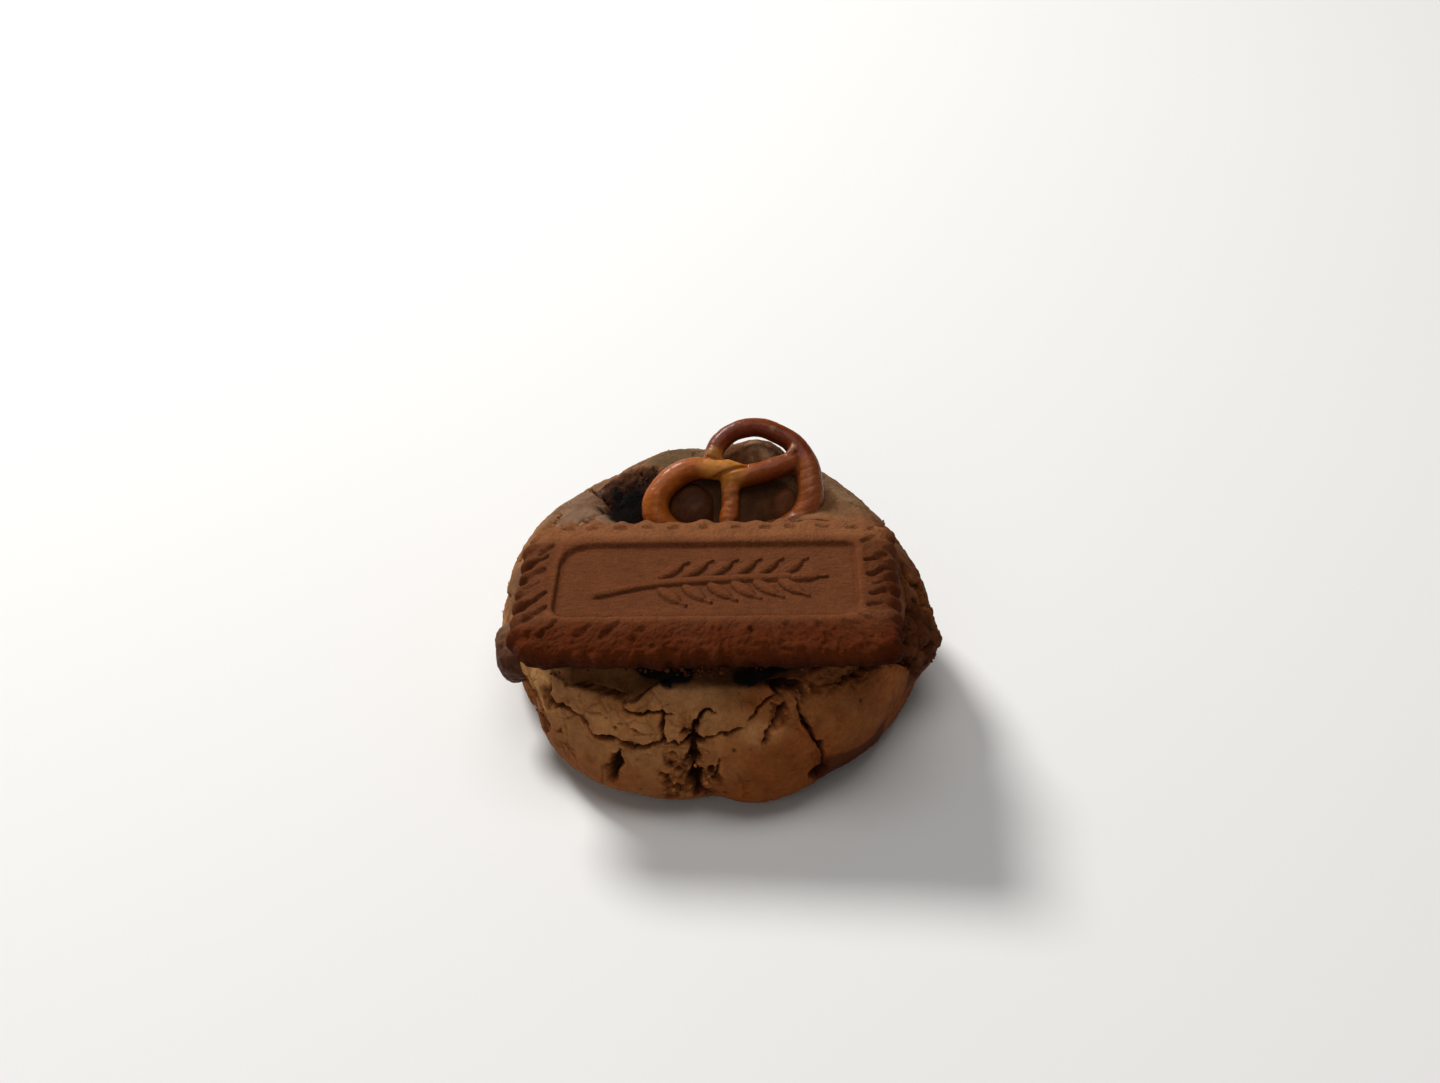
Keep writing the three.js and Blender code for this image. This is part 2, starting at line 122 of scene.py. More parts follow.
def mix(a, b, t):
    t = np.asarray(t)[..., None]
    return np.asarray(a) * (1 - t) + np.asarray(b) * t


# ---- meshes ----------------------------------------------------------------------------------
def mesh_from(name, P, F):
    me = bpy.data.meshes.new(name)
    F = np.asarray(F, np.int32)
    me.vertices.add(len(P))
    me.vertices.foreach_set("co", (np.asarray(P) * MM).astype(np.float32).ravel())
    me.loops.add(F.size)
    me.loops.foreach_set("vertex_index", F.ravel())
    me.polygons.add(len(F))
    me.polygons.foreach_set("loop_start", np.arange(0, F.size, 3, dtype=np.int32))
    me.update(calc_edges=True)
    me.validate()
    return me


def add_object(name, me):
    o = bpy.data.objects.new(name, me)
    bpy.context.scene.collection.objects.link(o)
    return o


def swap_mesh(o):
    """Puts the mesh that o's modifiers make in place of its own."""
    dg = bpy.context.evaluated_depsgraph_get()
    made = bpy.data.meshes.new_from_object(o.evaluated_get(dg))
    old = o.data
    o.modifiers.clear()
    o.data = made
    bpy.data.meshes.remove(old)
    o.data.name = o.name


def thin(o, most):
    n = len(o.data.polygons)
    if n > most:
        mod = o.modifiers.new("thin", "DECIMATE")
        mod.ratio = most / n
        mod.use_collapse_triangulate = True
        swap_mesh(o)


def points_of(o):
    co = np.zeros(len(o.data.vertices) * 3, np.float32)
    o.data.vertices.foreach_get("co", co)
    return co.reshape(-1, 3).astype(float) / MM


def normals_of(o):
    no = np.zeros(len(o.data.vertices) * 3, np.float32)
    o.data.vertex_normals.foreach_get("vector", no)
    return no.reshape(-1, 3).astype(float)


def paint(o, **layers):
    """Stores a number or a colour for each vertex."""
    for name, values in layers.items():
        values = np.asarray(values, np.float32)
        if values.ndim == 1:
            at = o.data.attributes.new(name, "FLOAT", "POINT")
            at.data.foreach_set("value", values)
        elif name == "place":
            at = o.data.attributes.new(name, "FLOAT_VECTOR", "POINT")
            at.data.foreach_set("vector", values.ravel())
        else:
            at = o.data.attributes.new(name, "FLOAT_COLOR", "POINT")
            full = np.ones((len(values), 4), np.float32)
            full[:, :3] = np.clip(values, 0, 1)
            at.data.foreach_set("color", full.ravel())


def smooth(o):
    o.data.polygons.foreach_set("use_smooth", np.ones(len(o.data.polygons), bool))
    o.data.update()


def geodesic(f):
    """Unit directions of an icosahedron whose edges are cut into f, and their triangles."""
    g = (1 + 5**0.5) / 2
    V = np.array([(-1, g, 0), (1, g, 0), (-1, -g, 0), (1, -g, 0), (0, -1, g), (0, 1, g), (0, -1, -g), (0, 1, -g), (g, 0, -1), (g, 0, 1), (-g, 0, -1), (-g, 0, 1)], float)
    V /= np.linalg.norm(V[0])
    faces = [(0, 11, 5), (0, 5, 1), (0, 1, 7), (0, 7, 10), (0, 10, 11), (1, 5, 9), (5, 11, 4), (11, 10, 2), (10, 7, 6), (7, 1, 8), (3, 9, 4), (3, 4, 2), (3, 2, 6), (3, 6, 8), (3, 8, 9), (4, 9, 5), (2, 4, 11), (6, 2, 10), (8, 6, 7), (9, 8, 1)]
    j, i = np.array([(b, a) for b in range(f + 1) for a in range(f + 1 - b)]).T
    number = {}
    start = np.array([b * (f + 1) - b * (b - 1) // 2 for b in range(f + 2)])
    u = i < f - j
    a = start[j[u]] + i[u]
    tris = [np.stack([a, a + 1, start[j[u] + 1] + i[u]], 1)]
    u = (i < f - j) & (i > 0)
    a = start[j[u]] + i[u]
    tris.append(np.stack([a, start[j[u] + 1] + i[u], start[j[u] + 1] + i[u] - 1], 1))
    tris = np.concatenate(tris)
    P, T = [], []
    for k, (A, B, C) in enumerate(faces):
        P.append(V[A] + (V[B] - V[A]) * (i / f)[:, None] + (V[C] - V[A]) * (j / f)[:, None])
        T.append(tris + k * len(i))
    P, T = np.concatenate(P), np.concatenate(T)
    key = np.round(P * 1e6).astype(np.int64)
    key = (key[:, 0] + 4000000) * 10**14 + (key[:, 1] + 4000000) * 10**7 + key[:, 2] + 4000000
    _, first, back = np.unique(key, return_index=True, return_inverse=True)
    P = P[first]
    return P / np.linalg.norm(P, axis=1, keepdims=True), back[T]


# ---- the baked dough -------------------------------------------------------------------------
CENTRE = np.array((0, 0, 8.0))
SWELLS = [
    ((0, 6, 36), (19, 6.5, 12), -8.2), ((-17, 6, 31), (8, 6, 10), -2.2), ((-4, -30, 26), (30, 8, 7), -2.3),
    ((6.4, 17, 34), (5.6, 7, 8), 2.9), ((-8, 19, 33), (6.5, 7, 8), 1), ((-20, 16, 30), (8, 9, 9), -0.4),
    ((-28, 4, 23), (9, 11, 8), 1.1), ((-35, -9, 15), (4, 5, 4.6), 0.8), ((35.5, -5, 12), (4.6, 5.5, 5), 1.4),
    ((36, -6, 5.8), (4.5, 7, 3), -2), ((32, -16, 7), (8, 10, 7), -2.6), ((22, -28, 15), (9, 8, 7), 1.3),
    ((20.5, -29, 2.5), (7.5, 7, 4.2), -1.9), ((7, -36, 9), (8, 9, 9), 0.9), ((-0.4, -36, 3), (3.6, 9, 5.5), -1.7),
    ((-32, -15, 7), (8, 10, 7), -2.6), ((-35, -5.5, 5), (4.5, 6, 3.6), -1.3), ((-17, -31, 8), (7, 8, 7), 1.2),
    ((27, 16, 22), (10, 10, 9), -0.8), ((4, 34, 14), (13, 9, 9), 1), ((-22, 26, 12), (8, 8, 9), -1),
    ((-15.8, 9.4, 31.6), (4, 4.2, 4), -4.2), ((8.5, 9, 34.4), (5, 4.2, 6), -2.4), ((-3.5, 9, 35), (5, 4.5, 6), -1.6),
]
# Cracks: way (degrees round, degrees up), half width, depth, how much higher its left side is (looking along it, from
# outside: the upper side of a crack that runs to the right across the front), and how closed each end is.
CRACKS = [
    # front
    ([(-140, 12.5), (-137, 10.5), (-133, 12.5), (-131, 12.5), (-128, 12), (-125.5, 11), (-124, 10), (-122.5, 9), (-120.5, 9), (-118, 10), (-116, 10), (-113, 9.5), (-111, 9), (-108.5, 9.5), (-106.5, 10.5), (-104.5, 11.5), (-102, 11.5), (-99.5, 12), (-97, 13.5)], 0.55, 2.4, 0.45, (0, 0)),
    ([(-137, 18.5), (-133, 18), (-130.5, 19.5), (-127.5, 20), (-125, 20), (-122.5, 20), (-119.5, 20.5), (-116.5, 20), (-114.5, 19.5), (-112.5, 21), (-111, 22.5), (-109, 24), (-107, 26), (-104.5, 27.5)], 0.30, 1.1, -1.7, (0.8, 0.5)),
    ([(-115.5, 19.5), (-114.5, 18), (-112, 18), (-109.5, 18), (-108, 18.5), (-106, 19), (-104.5, 19)], 0.33, 1.6, 0.3, (0, 0)),
    ([(-104.5, 19), (-104, 16.5), (-104, 14.5), (-103.5, 11.5)], 0.48, 2.3, 0.15, (0, 0)),
    ([(-104, 18.5), (-101.5, 19)], 0.20, 0.7, 0, (0, 1)),
    ([(-97, 13), (-96.5, 15.5), (-96, 17), (-94, 19), (-92.5, 20.5), (-90.5, 20), (-89, 20)], 0.40, 1.7, 0.1, (0, 1)),
    ([(-99.5, 15.5), (-97, 15.5)], 0.36, 1.2, 0, (0.9, 0)),
    ([(-96.5, 13), (-96, 10.5), (-96.5, 8.5), (-96, 5.5), (-95.3, 2.5), (-95.3, -1.5), (-95.3, -6)], 0.72, 2.6, 0.0, (0, 0)),
    ([(-114.5, 7.5), (-115, 5.5), (-116, 3), (-116, 1), (-116.5, -1.5)], 0.80, 2.9, 0.0, (0.75, 0.2)),
    ([(-92.5, 14), (-90, 14.5), (-88.5, 15.5), (-86.5, 15.5), (-84.5, 16), (-82.5, 17), (-81, 17)], 0.34, 1.4, 0.40, (0, 0.8)),
    ([(-83, 17.5), (-80, 18.5), (-79, 20), (-77, 21.5), (-75, 22.5), (-73, 23), (-72, 25)], 0.36, 1.7, 0.45, (0.8, 0)),
    ([(-71, 20.5), (-73, 18.5), (-74.5, 16.5), (-75.5, 15.0)], 0.66, 1.5, 0.5, (0.5, 0.4)),
    ([(-75, 16), (-76.5, 14.5), (-77.5, 12.5), (-80, 11)], 0.42, 1.0, 0.25, (0.2, 1)),
    ([(-68.5, 23), (-67.8, 20), (-68, 17), (-67, 15), (-65.5, 12.5), (-64.5, 10), (-63, 7.5), (-62.5, 5), (-63, 1)], 0.40, 1.9, -0.3, (0.9, 0.4)),
    ([(-60, 22.5), (-56, 22), (-53.5, 21.5), (-51, 22), (-48.5, 21.5), (-46, 21.5), (-42.5, 21.5), (-39.5, 21), (-36, 20), (-33, 17.5), (-29.5, 14), (-26, 10)], 0.38, 1.6, -0.9, (0.8, 0)),
    ([(-89, 10), (-89, 8), (-90, 4.5), (-91, 1.5)], 0.34, 1.2, 0.0, (0.6, 0.1)),
    ([(-137, 2), (-134, 4.5), (-133, 3.5)], 0.26, 0.8, 0.0, (0.4, 0.5)),
    ([(-133, 1), (-130.5, 0.5), (-129, 0), (-127.5, -1.5)], 0.22, 0.6, 0.0, (0.8, 0.6)),
    ([(-128, 15), (-122, 15), (-116, 14.5), (-111, 15)], 0.12, 0.35, 0.0, (1, 1)),
    ([(-113, 12), (-109, 13), (-106, 12.5)], 0.12, 0.35, 0.0, (1, 1)),
    ([(-84, 26), (-82, 23), (-83, 20)], 0.13, 0.35, 0.0, (1, 1)),
    ([(-112, 14), (-110, 13.3)], 0.26, 0.8, 0.0, (0.5, 0.5)),
    ([(-88, 14.7), (-87, 15.2)], 0.42, 1.3, 0.0, (0.2, 0.5)),
    # right
    ([(-2, 31.5), (-2.5, 29), (-4.5, 27.5), (-5.5, 26), (-5, 24), (-5, 22.5), (-5.5, 20.5), (-7.5, 19)], 0.50, 2.0, 0.4, (0.5, 0)),
    ([(-7.5, 19), (-3, 14), (-2, 9), (-6, 3)], 0.40, 1.5, 0.2, (0, 0.4)),
    ([(-9, 30), (-13, 27.5), (-17, 24), (-22, 22), (-26, 19)], 0.55, 2.0, 0.0, (0.3, 0.2)),
    ([(-4, 36), (-9, 40), (-8, 46)], 0.20, 0.7, 0.0, (0.2, 1)),
    ([(18, 33), (24, 26), (30, 20), (27, 14), (26, 8), (34, -5)], 0.55, 1.9, 0.3, (0.9, 0)),
    ([(-3, 13), (6, 11), (14, 13), (26, 11)], 0.32, 1.2, -0.25, (0.2, 0.4)),
    ([(30, 20), (40, 23), (50, 24), (58, 20), (66, 18), (72, 7), (70, -4)], 0.60, 2.0, 0.35, (0, 0)),
    # back
    ([(66, 18), (74, 26), (82, 30), (94, 31), (104, 35)], 0.45, 1.6, -0.3, (0, 0.8)),
    ([(82, 30), (88, 42), (97, 49)], 0.30, 1.2, 0.2, (0, 0.9)),
    ([(112, 30), (109, 22), (110, 14), (118, 4), (114, -7)], 0.70, 2.2, 0.2, (0.8, 0)),
    ([(72, 7), (84, 9), (96, 5), (111, 12)], 0.36, 1.4, 0.3, (0, 0)),
    ([(118, 6), (127, 10), (136, 12), (144, 9), (152, 8)], 0.45, 1.7, -0.3, (0, 0.6)),
    ([(136, 12), (140, 20), (138, 29)], 0.34, 1.4, 0.2, (0, 0.8)),
    # left
    ([(172, 27), (176, 20), (176, 12), (170, 0), (172, -8)], 0.50, 1.7, 0.3, (0.6, 0)),
    ([(176, 16), (186, 20), (196, 17), (206, 20)], 0.34, 1.3, 0.3, (0, 0.9)),
    ([(152, 8), (162, 5), (171, 3)], 0.28, 1.0, 0.2, (0.6, 0)),
    ([(190, 6), (200, 4), (208, 7)], 0.35, 1.2, 0.2, (0.8, 0.8)),
    ([(176, 38), (184, 33), (192, 34)], 0.22, 0.8, 0.1, (0.9, 0.9)),
]
# Patches of open crumb: degrees round and up, reach along the surface (mm), how far it lies back (mm), how rough.
CRUMB = [
    (-100.5, 7, 1.9, 0.35, 0.9), (-98, 5, 2.4, 0.5, 1.0), (-101.5, 2.5, 2.2, 0.45, 1.0), (-98, -1, 2.6, 0.5, 1.0), (-100.5, -5, 2.6, 0.4, 1.0), (-94, 8.5, 1.5, 0.3, 0.8), (-93.5, 1.5, 1.6, 0.3, 0.7), (-91, 1.8, 1.3, 0.3, 0.8), (-94, -5, 2.0, 0.3, 0.8),
    (-97, 15, 1.4, 0.4, 0.8), (-73, 18.2, 1.3, 0.3, 0.8), (-75, 16, 1.0, 0.3, 0.8),
    (-70, 25, 2.3, 0.9, 0.7), (-66, 24, 2.0, 0.8, 0.6), (-58, 25, 2.6, 0.3, 0.35), (-50, 24, 2.4, 0.3, 0.3),
    (-140.5, 11, 2.0, 0.6, 0.8), (-143, 1, 2.2, 0.7, 0.9), (-146, 7, 1.8, 0.3, 0.8),
    (-25.5, 15, 2.4, 0.3, 0.7), (-24, 20, 2.0, 0.4, 0.6), (-18, 21, 2.3, 0.5, 0.7), (-15, 7.5, 3.0, 0.2, 0.8), (-20, 12, 2.6, 0.3, 0.8), (-11, 12, 2.2, 0.2, 0.8), (-9, 20, 1.6, 0.3, 0.7),
    (136.5, 47, 2.4, 0.3, 0.8), (132, 52.5, 2.4, 0.2, 0.8), (141, 44.5, 1.5, 0.2, 0.8), (128.5, 50, 1.4, 0.1, 0.7), (127, 55, 1.6, 0.15, 0.7), (137, 52, 2.4, 0.3, 0.8), (147, 44.5, 1.2, 0.2, 0.7),
    (108, 20, 2.2, 0.3, 0.7), (113, 6, 2.8, 0.5, 0.8), (30, 20, 2.4, 0.4, 0.8), (68, 16, 2.4, 0.4, 0.7), (176, 14, 2.0, 0.4, 0.7),
    (-117, 1, 1.3, 0.2, 0.7),
]
# Pits in the crust, painted dark as shade where deep: degrees round and up, half width and half height (mm), depth
# (mm).
PITS = [
    (-95.3, 13.3, 1.4, 1.15, 2.6), (-95.5, 17, 0.7, 0.8, 1.9), (-95.3, 2, 1.25, 2.0, 2.8), (-95.4, 8.2, 0.9, 1.2, 2.4), (-91.4, 5.0, 0.6, 1.0, 1.5), (-99.6, 4.4, 0.6, 0.5, 1.3), (-97.5, 7, 0.6, 0.6, 1.5), (-101.8, 5.6, 0.5, 0.45, 1.2), (-102.5, 2, 0.45, 0.5, 1.2), (-99.5, -3, 0.55, 0.45, 1.2), (-91, 1.6, 0.6, 0.5, 1.3),
    (-140.2, 12.2, 1.3, 1.7, 2.2), (-137.6, 10.6, 0.55, 0.6, 1.5), (-142.5, 3.5, 1.1, 2.4, 2.3),
    (-70.2, 25.2, 1.7, 0.80, 2.4), (-66.8, 24.4, 1.5, 0.8, 2.2), (-115.2, 3.8, 1.0, 1.4, 2.6), (-116.4, 0.0, 0.9, 1.1, 2.3), (-65, 22.4, 0.6, 1.1, 1.2), (-73.6, 26.4, 0.9, 0.45, 1.3), (-72.4, 23.6, 0.55, 0.6, 1.5),
    (-63.4, -0.2, 1.8, 1.8, 2.8), (-63.6, 8.6, 0.7, 0.6, 1.6), (-58.5, 28, 1.3, 0.5, 1.2), (-35, 19.5, 1.4, 0.6, 1.5), (-44, 22.4, 1.4, 0.5, 1.4),
    (-11.5, 22.3, 0.7, 0.8, 1.4), (-24.5, 17.6, 1.0, 1.1, 1.6), (-26, 13.5, 1.2, 0.7, 1.6), (-15, 11.8, 0.8, 0.5, 1.2), (-24.5, 10.8, 1.5, 0.8, 1.5),
]
# Knobs where the crust broke up: degrees round and up, reach (mm), height (mm).
LUMPS = [
    (-12.5, 20.5, 1.5, 0.7), (-9.8, 17.2, 1.7, 0.8), (-15.5, 14.5, 2.0, 0.9), (-14.5, 8.5, 2.1, 1.0), (-19.5, 9.5, 1.9, 0.9), (-22.5, 14.5, 1.5, 0.7), (-18.5, 18.5, 1.4, 0.6), (-9.5, 9.5, 1.7, 0.7),
    (-103, 4, 0.9, 0.4), (-100, 1, 0.9, 0.45), (-102, -1.5, 0.9, 0.4), (-93.5, 4.5, 1.1, 0.5), (-92.3, 7.8, 0.9, 0.4), (-93, -1.5, 1.0, 0.4), (-99.5, 8, 0.8, 0.35),
    (-70.5, 22.3, 1.0, 0.35), (-67.5, 21.2, 0.8, 0.3), (133, 46, 1.2, 0.5), (139, 44.5, 1.2, 0.5), (145, 46, 1.0, 0.4), (129, 54, 1.1, 0.5), (141, 49.5, 1.0, 0.4),
]
# Small hollows: degrees round and up, reach (mm), depth (mm).
HOLLOWS = [
    (-115, 25, 4.0, 0.8), (-109, 27.5, 3.4, 0.7), (-84, 30, 5, 0.5), (-2, 26, 3.0, 0.4),
    (152, 45.5, 0.75, 0.5), (150.5, 43.4, 0.6, 0.5), (155, 44.6, 0.55, 0.4), (158, 47, 0.5, 0.35), (150, 47, 0.6, 0.4),
    (-168, 24, 1.0, 0.7), (-161, 16, 1.1, 0.8), (120, 44, 2.0, 0.6), (-150, 15, 1.6, 0.5), (60, 12, 3, 0.7), (150, -2, 4, 0.8),
    (145.4, 49.4, 2.9, 1.5), (10, -3, 5, 0.8), (92, -3, 5, 0.7), (-40, -4, 5, 0.9), (-56, 0, 3.4, 0.5), (-48, -1, 3.4, 0.5), (77, 61, 1.3, 0.5), (72, 60, 0.9, 0.2), (66, 56, 4.2, -0.75),
]


def towards(az, el):
    a, e = np.radians(az), np.radians(el)
    return np.stack([np.cos(e) * np.cos(a), np.cos(e) * np.sin(a), np.sin(e)], -1)


def dough_radius(D):
    rho, up = np.hypot(D[:, 0], D[:, 1]), D[:, 2] >= 0
    p, h = np.where(up, 2.35, 2.9), np.where(up, 28.6, 9.6)
    r = 1 / ((rho / 36.0) ** p + (np.abs(D[:, 2]) / h) ** p) ** (1 / p)
    P = CENTRE + D * r[:, None]
    for at, reach, height in SWELLS:
        r = r + height * np.exp(-(((P - at) / reach) ** 2).sum(1))
    return np.where(D[:, 2] < 0, np.minimum(r, 8.0 / np.maximum(-D[:, 2], 1e-9)), r)


def on_dough(az, el):
    D = np.atleast_2d(towards(np.asarray(az, float), np.asarray(el, float)))
    return CENTRE + D * dough_radius(D)[:, None]


def beside(P, way, reach):
    """Which points lie within reach of a line, how far, how far along it (0 to 1), and on which side."""
    pick = np.where(((P > way.min(0) - reach) & (P < way.max(0) + reach)).all(1))[0]
    Q = P[pick]
    best, along, side = np.full(len(Q), 1e9), np.zeros(len(Q)), np.ones(len(Q))
    step = np.linalg.norm(np.diff(way, axis=0), axis=1)
    run = np.concatenate([[0], np.cumsum(step)])
    for k in range(len(way) - 1):
        ab = way[k + 1] - way[k]
        t = np.clip((Q - way[k]) @ ab / (ab @ ab), 0, 1)
        X = Q - (way[k] + t[:, None] * ab)
        d = np.sqrt((X * X).sum(1))
        m = d < best
        best[m] = d[m]
        along[m] = (run[k] + t[m] * step[k]) / run[-1]
        side[m] = np.sign(X[m] @ np.cross(way[k] - CENTRE, ab))
    near = best < reach
    return pick[near], best[near], along[near], side[near]


# The biscuit's place on the dough.
B_AT, B_TURN, B_ROLL, B_TILT = np.array((-1.4, -13.9, 27.3)), -1.8, -2.4, 5.5
B_A, B_B, B_T, B_BORDER, B_END, B_TAPER, B_FLOOR = 30.75, 16.35, 5.0, 8.3, 7.1, 0.04, 4.2
B_CORNERS = (4.8, 7.4, 6.6, 2.8)


def turned(deg, axis):
    return np.array(Matrix.Rotation(math.radians(deg), 3, axis))


B_ROT = turned(B_TILT, "X") @ turned(B_ROLL, "Y") @ turned(B_TURN, "Z")


# The pretzel's plane: its middle bar's foot, and how it leans back.
PZ_AT, PZ_ROT = np.array((0.2, 5.9, 30.0)), turned(38.0, "X")


def biscuit_cover(X, Y):
    """How far a point of the biscuit's plan is outside its rounded outline, in mm."""
    X = X / (1 - B_TAPER * (Y + B_B) / (2 * B_B))
    c = np.where(X > 0, np.where(Y > 0, B_CORNERS[0], B_CORNERS[3]), np.where(Y > 0, B_CORNERS[1], B_CORNERS[2]))
    qx, qy = np.abs(X) - B_A + c, np.abs(Y) - B_B + c
    return np.hypot(np.maximum(qx, 0), np.maximum(qy, 0)) + np.minimum(np.maximum(qx, qy), 0) - c


CHUNKS = [
    # name, half sizes, centre, lean, turn, milk
    ("milk_chunk_left", (3.6, 4.6, 4.6), (-32.8, -10.0, 14.3), 0, 12, True),
    ("milk_chunk_lobe", (4.8, 4.7, 3.8), (-4.4, 9.2, 28.5), 38, 0, True),
    ("milk_chunk_back", (3.0, 3.9, 3.1), (10.9, 9.3, 28.7), 38, -20, True),
    ("dark_chunk_crater", (3.8, 4.0, 2.5), (-15.0, 8.8, 26.2), 8, -15, False),
    ("dark_chunk_front_left", (5.2, 3.4, 2.2), (-7.4, -25.8, 24.0), 0, 4, False),
    ("dark_chunk_front_right", (3.9, 3.3, 2.0), (7.0, -25.8, 24.2), 0, -6, False),
]


def dough(D):
    """The dough's surface along directions D from its middle: radius, and what each point is like."""
    base = dough_radius(D)
    P = CENTRE + D * base[:, None]
    az, el = np.degrees(np.arctan2(D[:, 1], D[:, 0])), np.degrees(np.arcsin(np.clip(D[:, 2], -1, 1)))
    coarse = np.stack([n(P, 3.1) for n in (N1, N2, N3)], 1)
    fine = np.stack([n(P, 1.15) for n in (N4, N5, N6)], 1)
    Q = P + 0.32 * coarse + 0.15 * fine
    # how far a point is into the part of the crust that the photograph shows from the front
    front = ease(az, -152, -144) * ease(az, -4, -12) * ease(el, 38, 31)
    n_crack = 0.95 + 0.62 * N2(P, 2.0) + 0.42 * N4(P, 0.95)

    crack = np.zeros(len(D))
    pillow = np.zeros(len(D))
    rim = np.zeros(len(D))
    step = np.zeros(len(D))
    for way, half, depth, lift, (shut0, shut1) in CRACKS:
        w = np.array(way, float)
        dense = [w[0]]
        for a, b in zip(w[:-1], w[1:]):
            n = max(2, int(np.hypot(*(b - a)) / 1.5))
            dense += [a + (b - a) * k / n for k in range(1, n + 1)]
        dense = np.array(dense)
        line = on_dough(dense[:, 0], dense[:, 1])
        pick, d, t, side = beside(Q, line, 8.0)
        open_ = (1 - shut0 * ease(t, 0.3, 0.0)) * (1 - shut1 * ease(t, 0.7, 1.0))
        width = half * open_ * np.maximum(n_crack[pick], 0.3) + 1e-3
        inside = np.clip(1 - d / width, 0, 1)
        cut = depth * (0.45 + 0.55 * open_) * np.minimum(1, 2.4 * inside) ** 0.7
        crack[pick] = np.maximum(crack[pick], cut)
        out = np.maximum(d - width, 0)
        strong = min(1.0, depth / 1.5) * (0.3 + 0.7 * open_)
        pillow[pick] = np.maximum(pillow[pick], strong * np.exp(-out / 1.5))
        rim[pick] = np.maximum(rim[pick], strong * np.exp(-out / 0.50))
        step[pick] += side * lift * 0.68 * np.exp(-((out / 3.4) ** 1.5)) * open_

    # finer breaks of the crust between the main cracks, and everywhere the main ones don't reach
    warp = P + 1.5 * np.stack([n(P, 6.5) for n in (N4, N5, N6)], 1) + 0.9 * coarse + 0.22 * fine
    c1, c2, _ = cells(warp, 12.5, 5)
    edge = (c2 - c1) * 0.5
    alive = ease(N6(P, 10.0), -0.12, 0.35) * (1 - 0.93 * front) * ease(el, 62, 45)
    width = 0.50 * alive * np.maximum(n_crack, 0.3) + 1e-3
    inside = np.clip(1 - edge / width, 0, 1)
    crack = np.maximum(crack, 1.5 * alive * np.minimum(1, 2.0 * inside) ** 0.8)
    out = np.maximum(edge - width, 0)
    pillow = np.maximum(pillow, 0.75 * alive * np.exp(-out / 2.2))
    rim = np.maximum(rim, alive * np.exp(-out / 0.35))
    h1, h2, _ = cells(P + 0.7 * coarse + 0.25 * fine, 4.6, 9)
    hair = np.clip(1 - (h2 - h1) * 0.5 / 0.15, 0, 1) * ease(N3(P, 7.0) + 0.5 * pillow, 0.25, 0.60) * ease(el, 66, 52)
    h1, h2, _ = cells(P + 0.5 * coarse + 0.3 * fine, 2.5, 12)
    hair = np.maximum(hair, 0.8 * np.clip(1 - (h2 - h1) * 0.5 / 0.13, 0, 1) * ease(N1(P, 4.0) + 0.7 * pillow, 0.42, 0.75))
    wrinkle = np.clip(1 - np.abs(N5(P + 0.4 * coarse, 2.4)) / 0.16, 0, 1) * ease(N6(P, 8.0), -0.1, 0.4)

    crumb = np.zeros(len(D))
    back = np.zeros(len(D))
    for a, e, reach, deep, rough in CRUMB:
        at = on_dough(a, e)[0]
        d = np.sqrt(((P - at) ** 2).sum(1)) * (1 + 0.42 * coarse[:, 0] + 0.30 * fine[:, 0])
        m = ease(d, reach * 1.08, reach * 0.80)
        crumb = np.maximum(crumb, m * rough)
        back = np.maximum(back, m * deep)
    for a, e, wide, tall, deep in PITS:
        at, up = on_dough(a, e)[0], towards(a, e)
        east = np.array((-math.sin(math.radians(a)), math.cos(math.radians(a)), 0))
        X = P - at
        d = np.sqrt((X @ east / wide) ** 2 + (X @ np.cross(up, east) / tall) ** 2 + (X @ up / 4) ** 2) * (1 + 0.30 * coarse[:, 1] + 0.25 * fine[:, 1])
        crack = np.maximum(crack, deep * ease(d, 1.15, 0.70))
        rim = np.maximum(rim, 0.8 * ease(d, 1.9, 1.2))
    knob = np.zeros(len(D))
    for a, e, reach, tall in LUMPS:
        at = on_dough(a, e)[0]
        d = np.sqrt(((P - at) ** 2).sum(1)) * (1 + 0.25 * coarse[:, 2] + 0.15 * fine[:, 2])
        knob = np.maximum(knob, tall * np.sqrt(np.clip(1 - (d / reach) ** 2, 0, 1)))
    for a, e, reach, deep in HOLLOWS:
        at = on_dough(a, e)[0]
        d = ((Q - at) ** 2).sum(1) / reach**2
        back = back + deep * np.exp(-(d**1.4))
    crumb = np.maximum(crumb, 0.85 * ease(crack, 0.25, 0.9))

    # melted chocolate round the chunks under the biscuit's front
    choc = np.zeros(len(D))
    for (_, half, at, lean, turn, milk), grow in zip(CHUNKS, (0.3, 0.4, 0.4, 0.9, 0.7, 0.6)):
        if milk:
            continue
        L = (P + 0.9 * coarse - at) @ turned(turn, "Z") @ turned(lean, "X")
        choc = np.maximum(choc, ease(np.sqrt(((L / (np.array(half) + grow)) ** 2).sum(1)), 1.12, 0.96))
    choc = np.maximum(choc, ease(np.sqrt((((P - (-15.4, 10.6, 29.3)) / (4.1, 3.9, 3.4)) ** 2).sum(1)) + 0.22 * coarse[:, 0] + 0.16 * N5(P, 0.9), 1.12, 0.86))
    choc = np.maximum(choc, ease(np.sqrt((((P - (4.6, -29.0, 23.9)) / (2.1, 1.8, 1.5)) ** 2).sum(1)) + 0.20 * coarse[:, 0], 1.12, 0.90))
    pores = np.zeros(len(D))
    p1, _, mark = cells(P, 3.3, 14)
    pores = ease(p1, 0.52, 0.14) * (mark > 0.66) * (1 - choc)

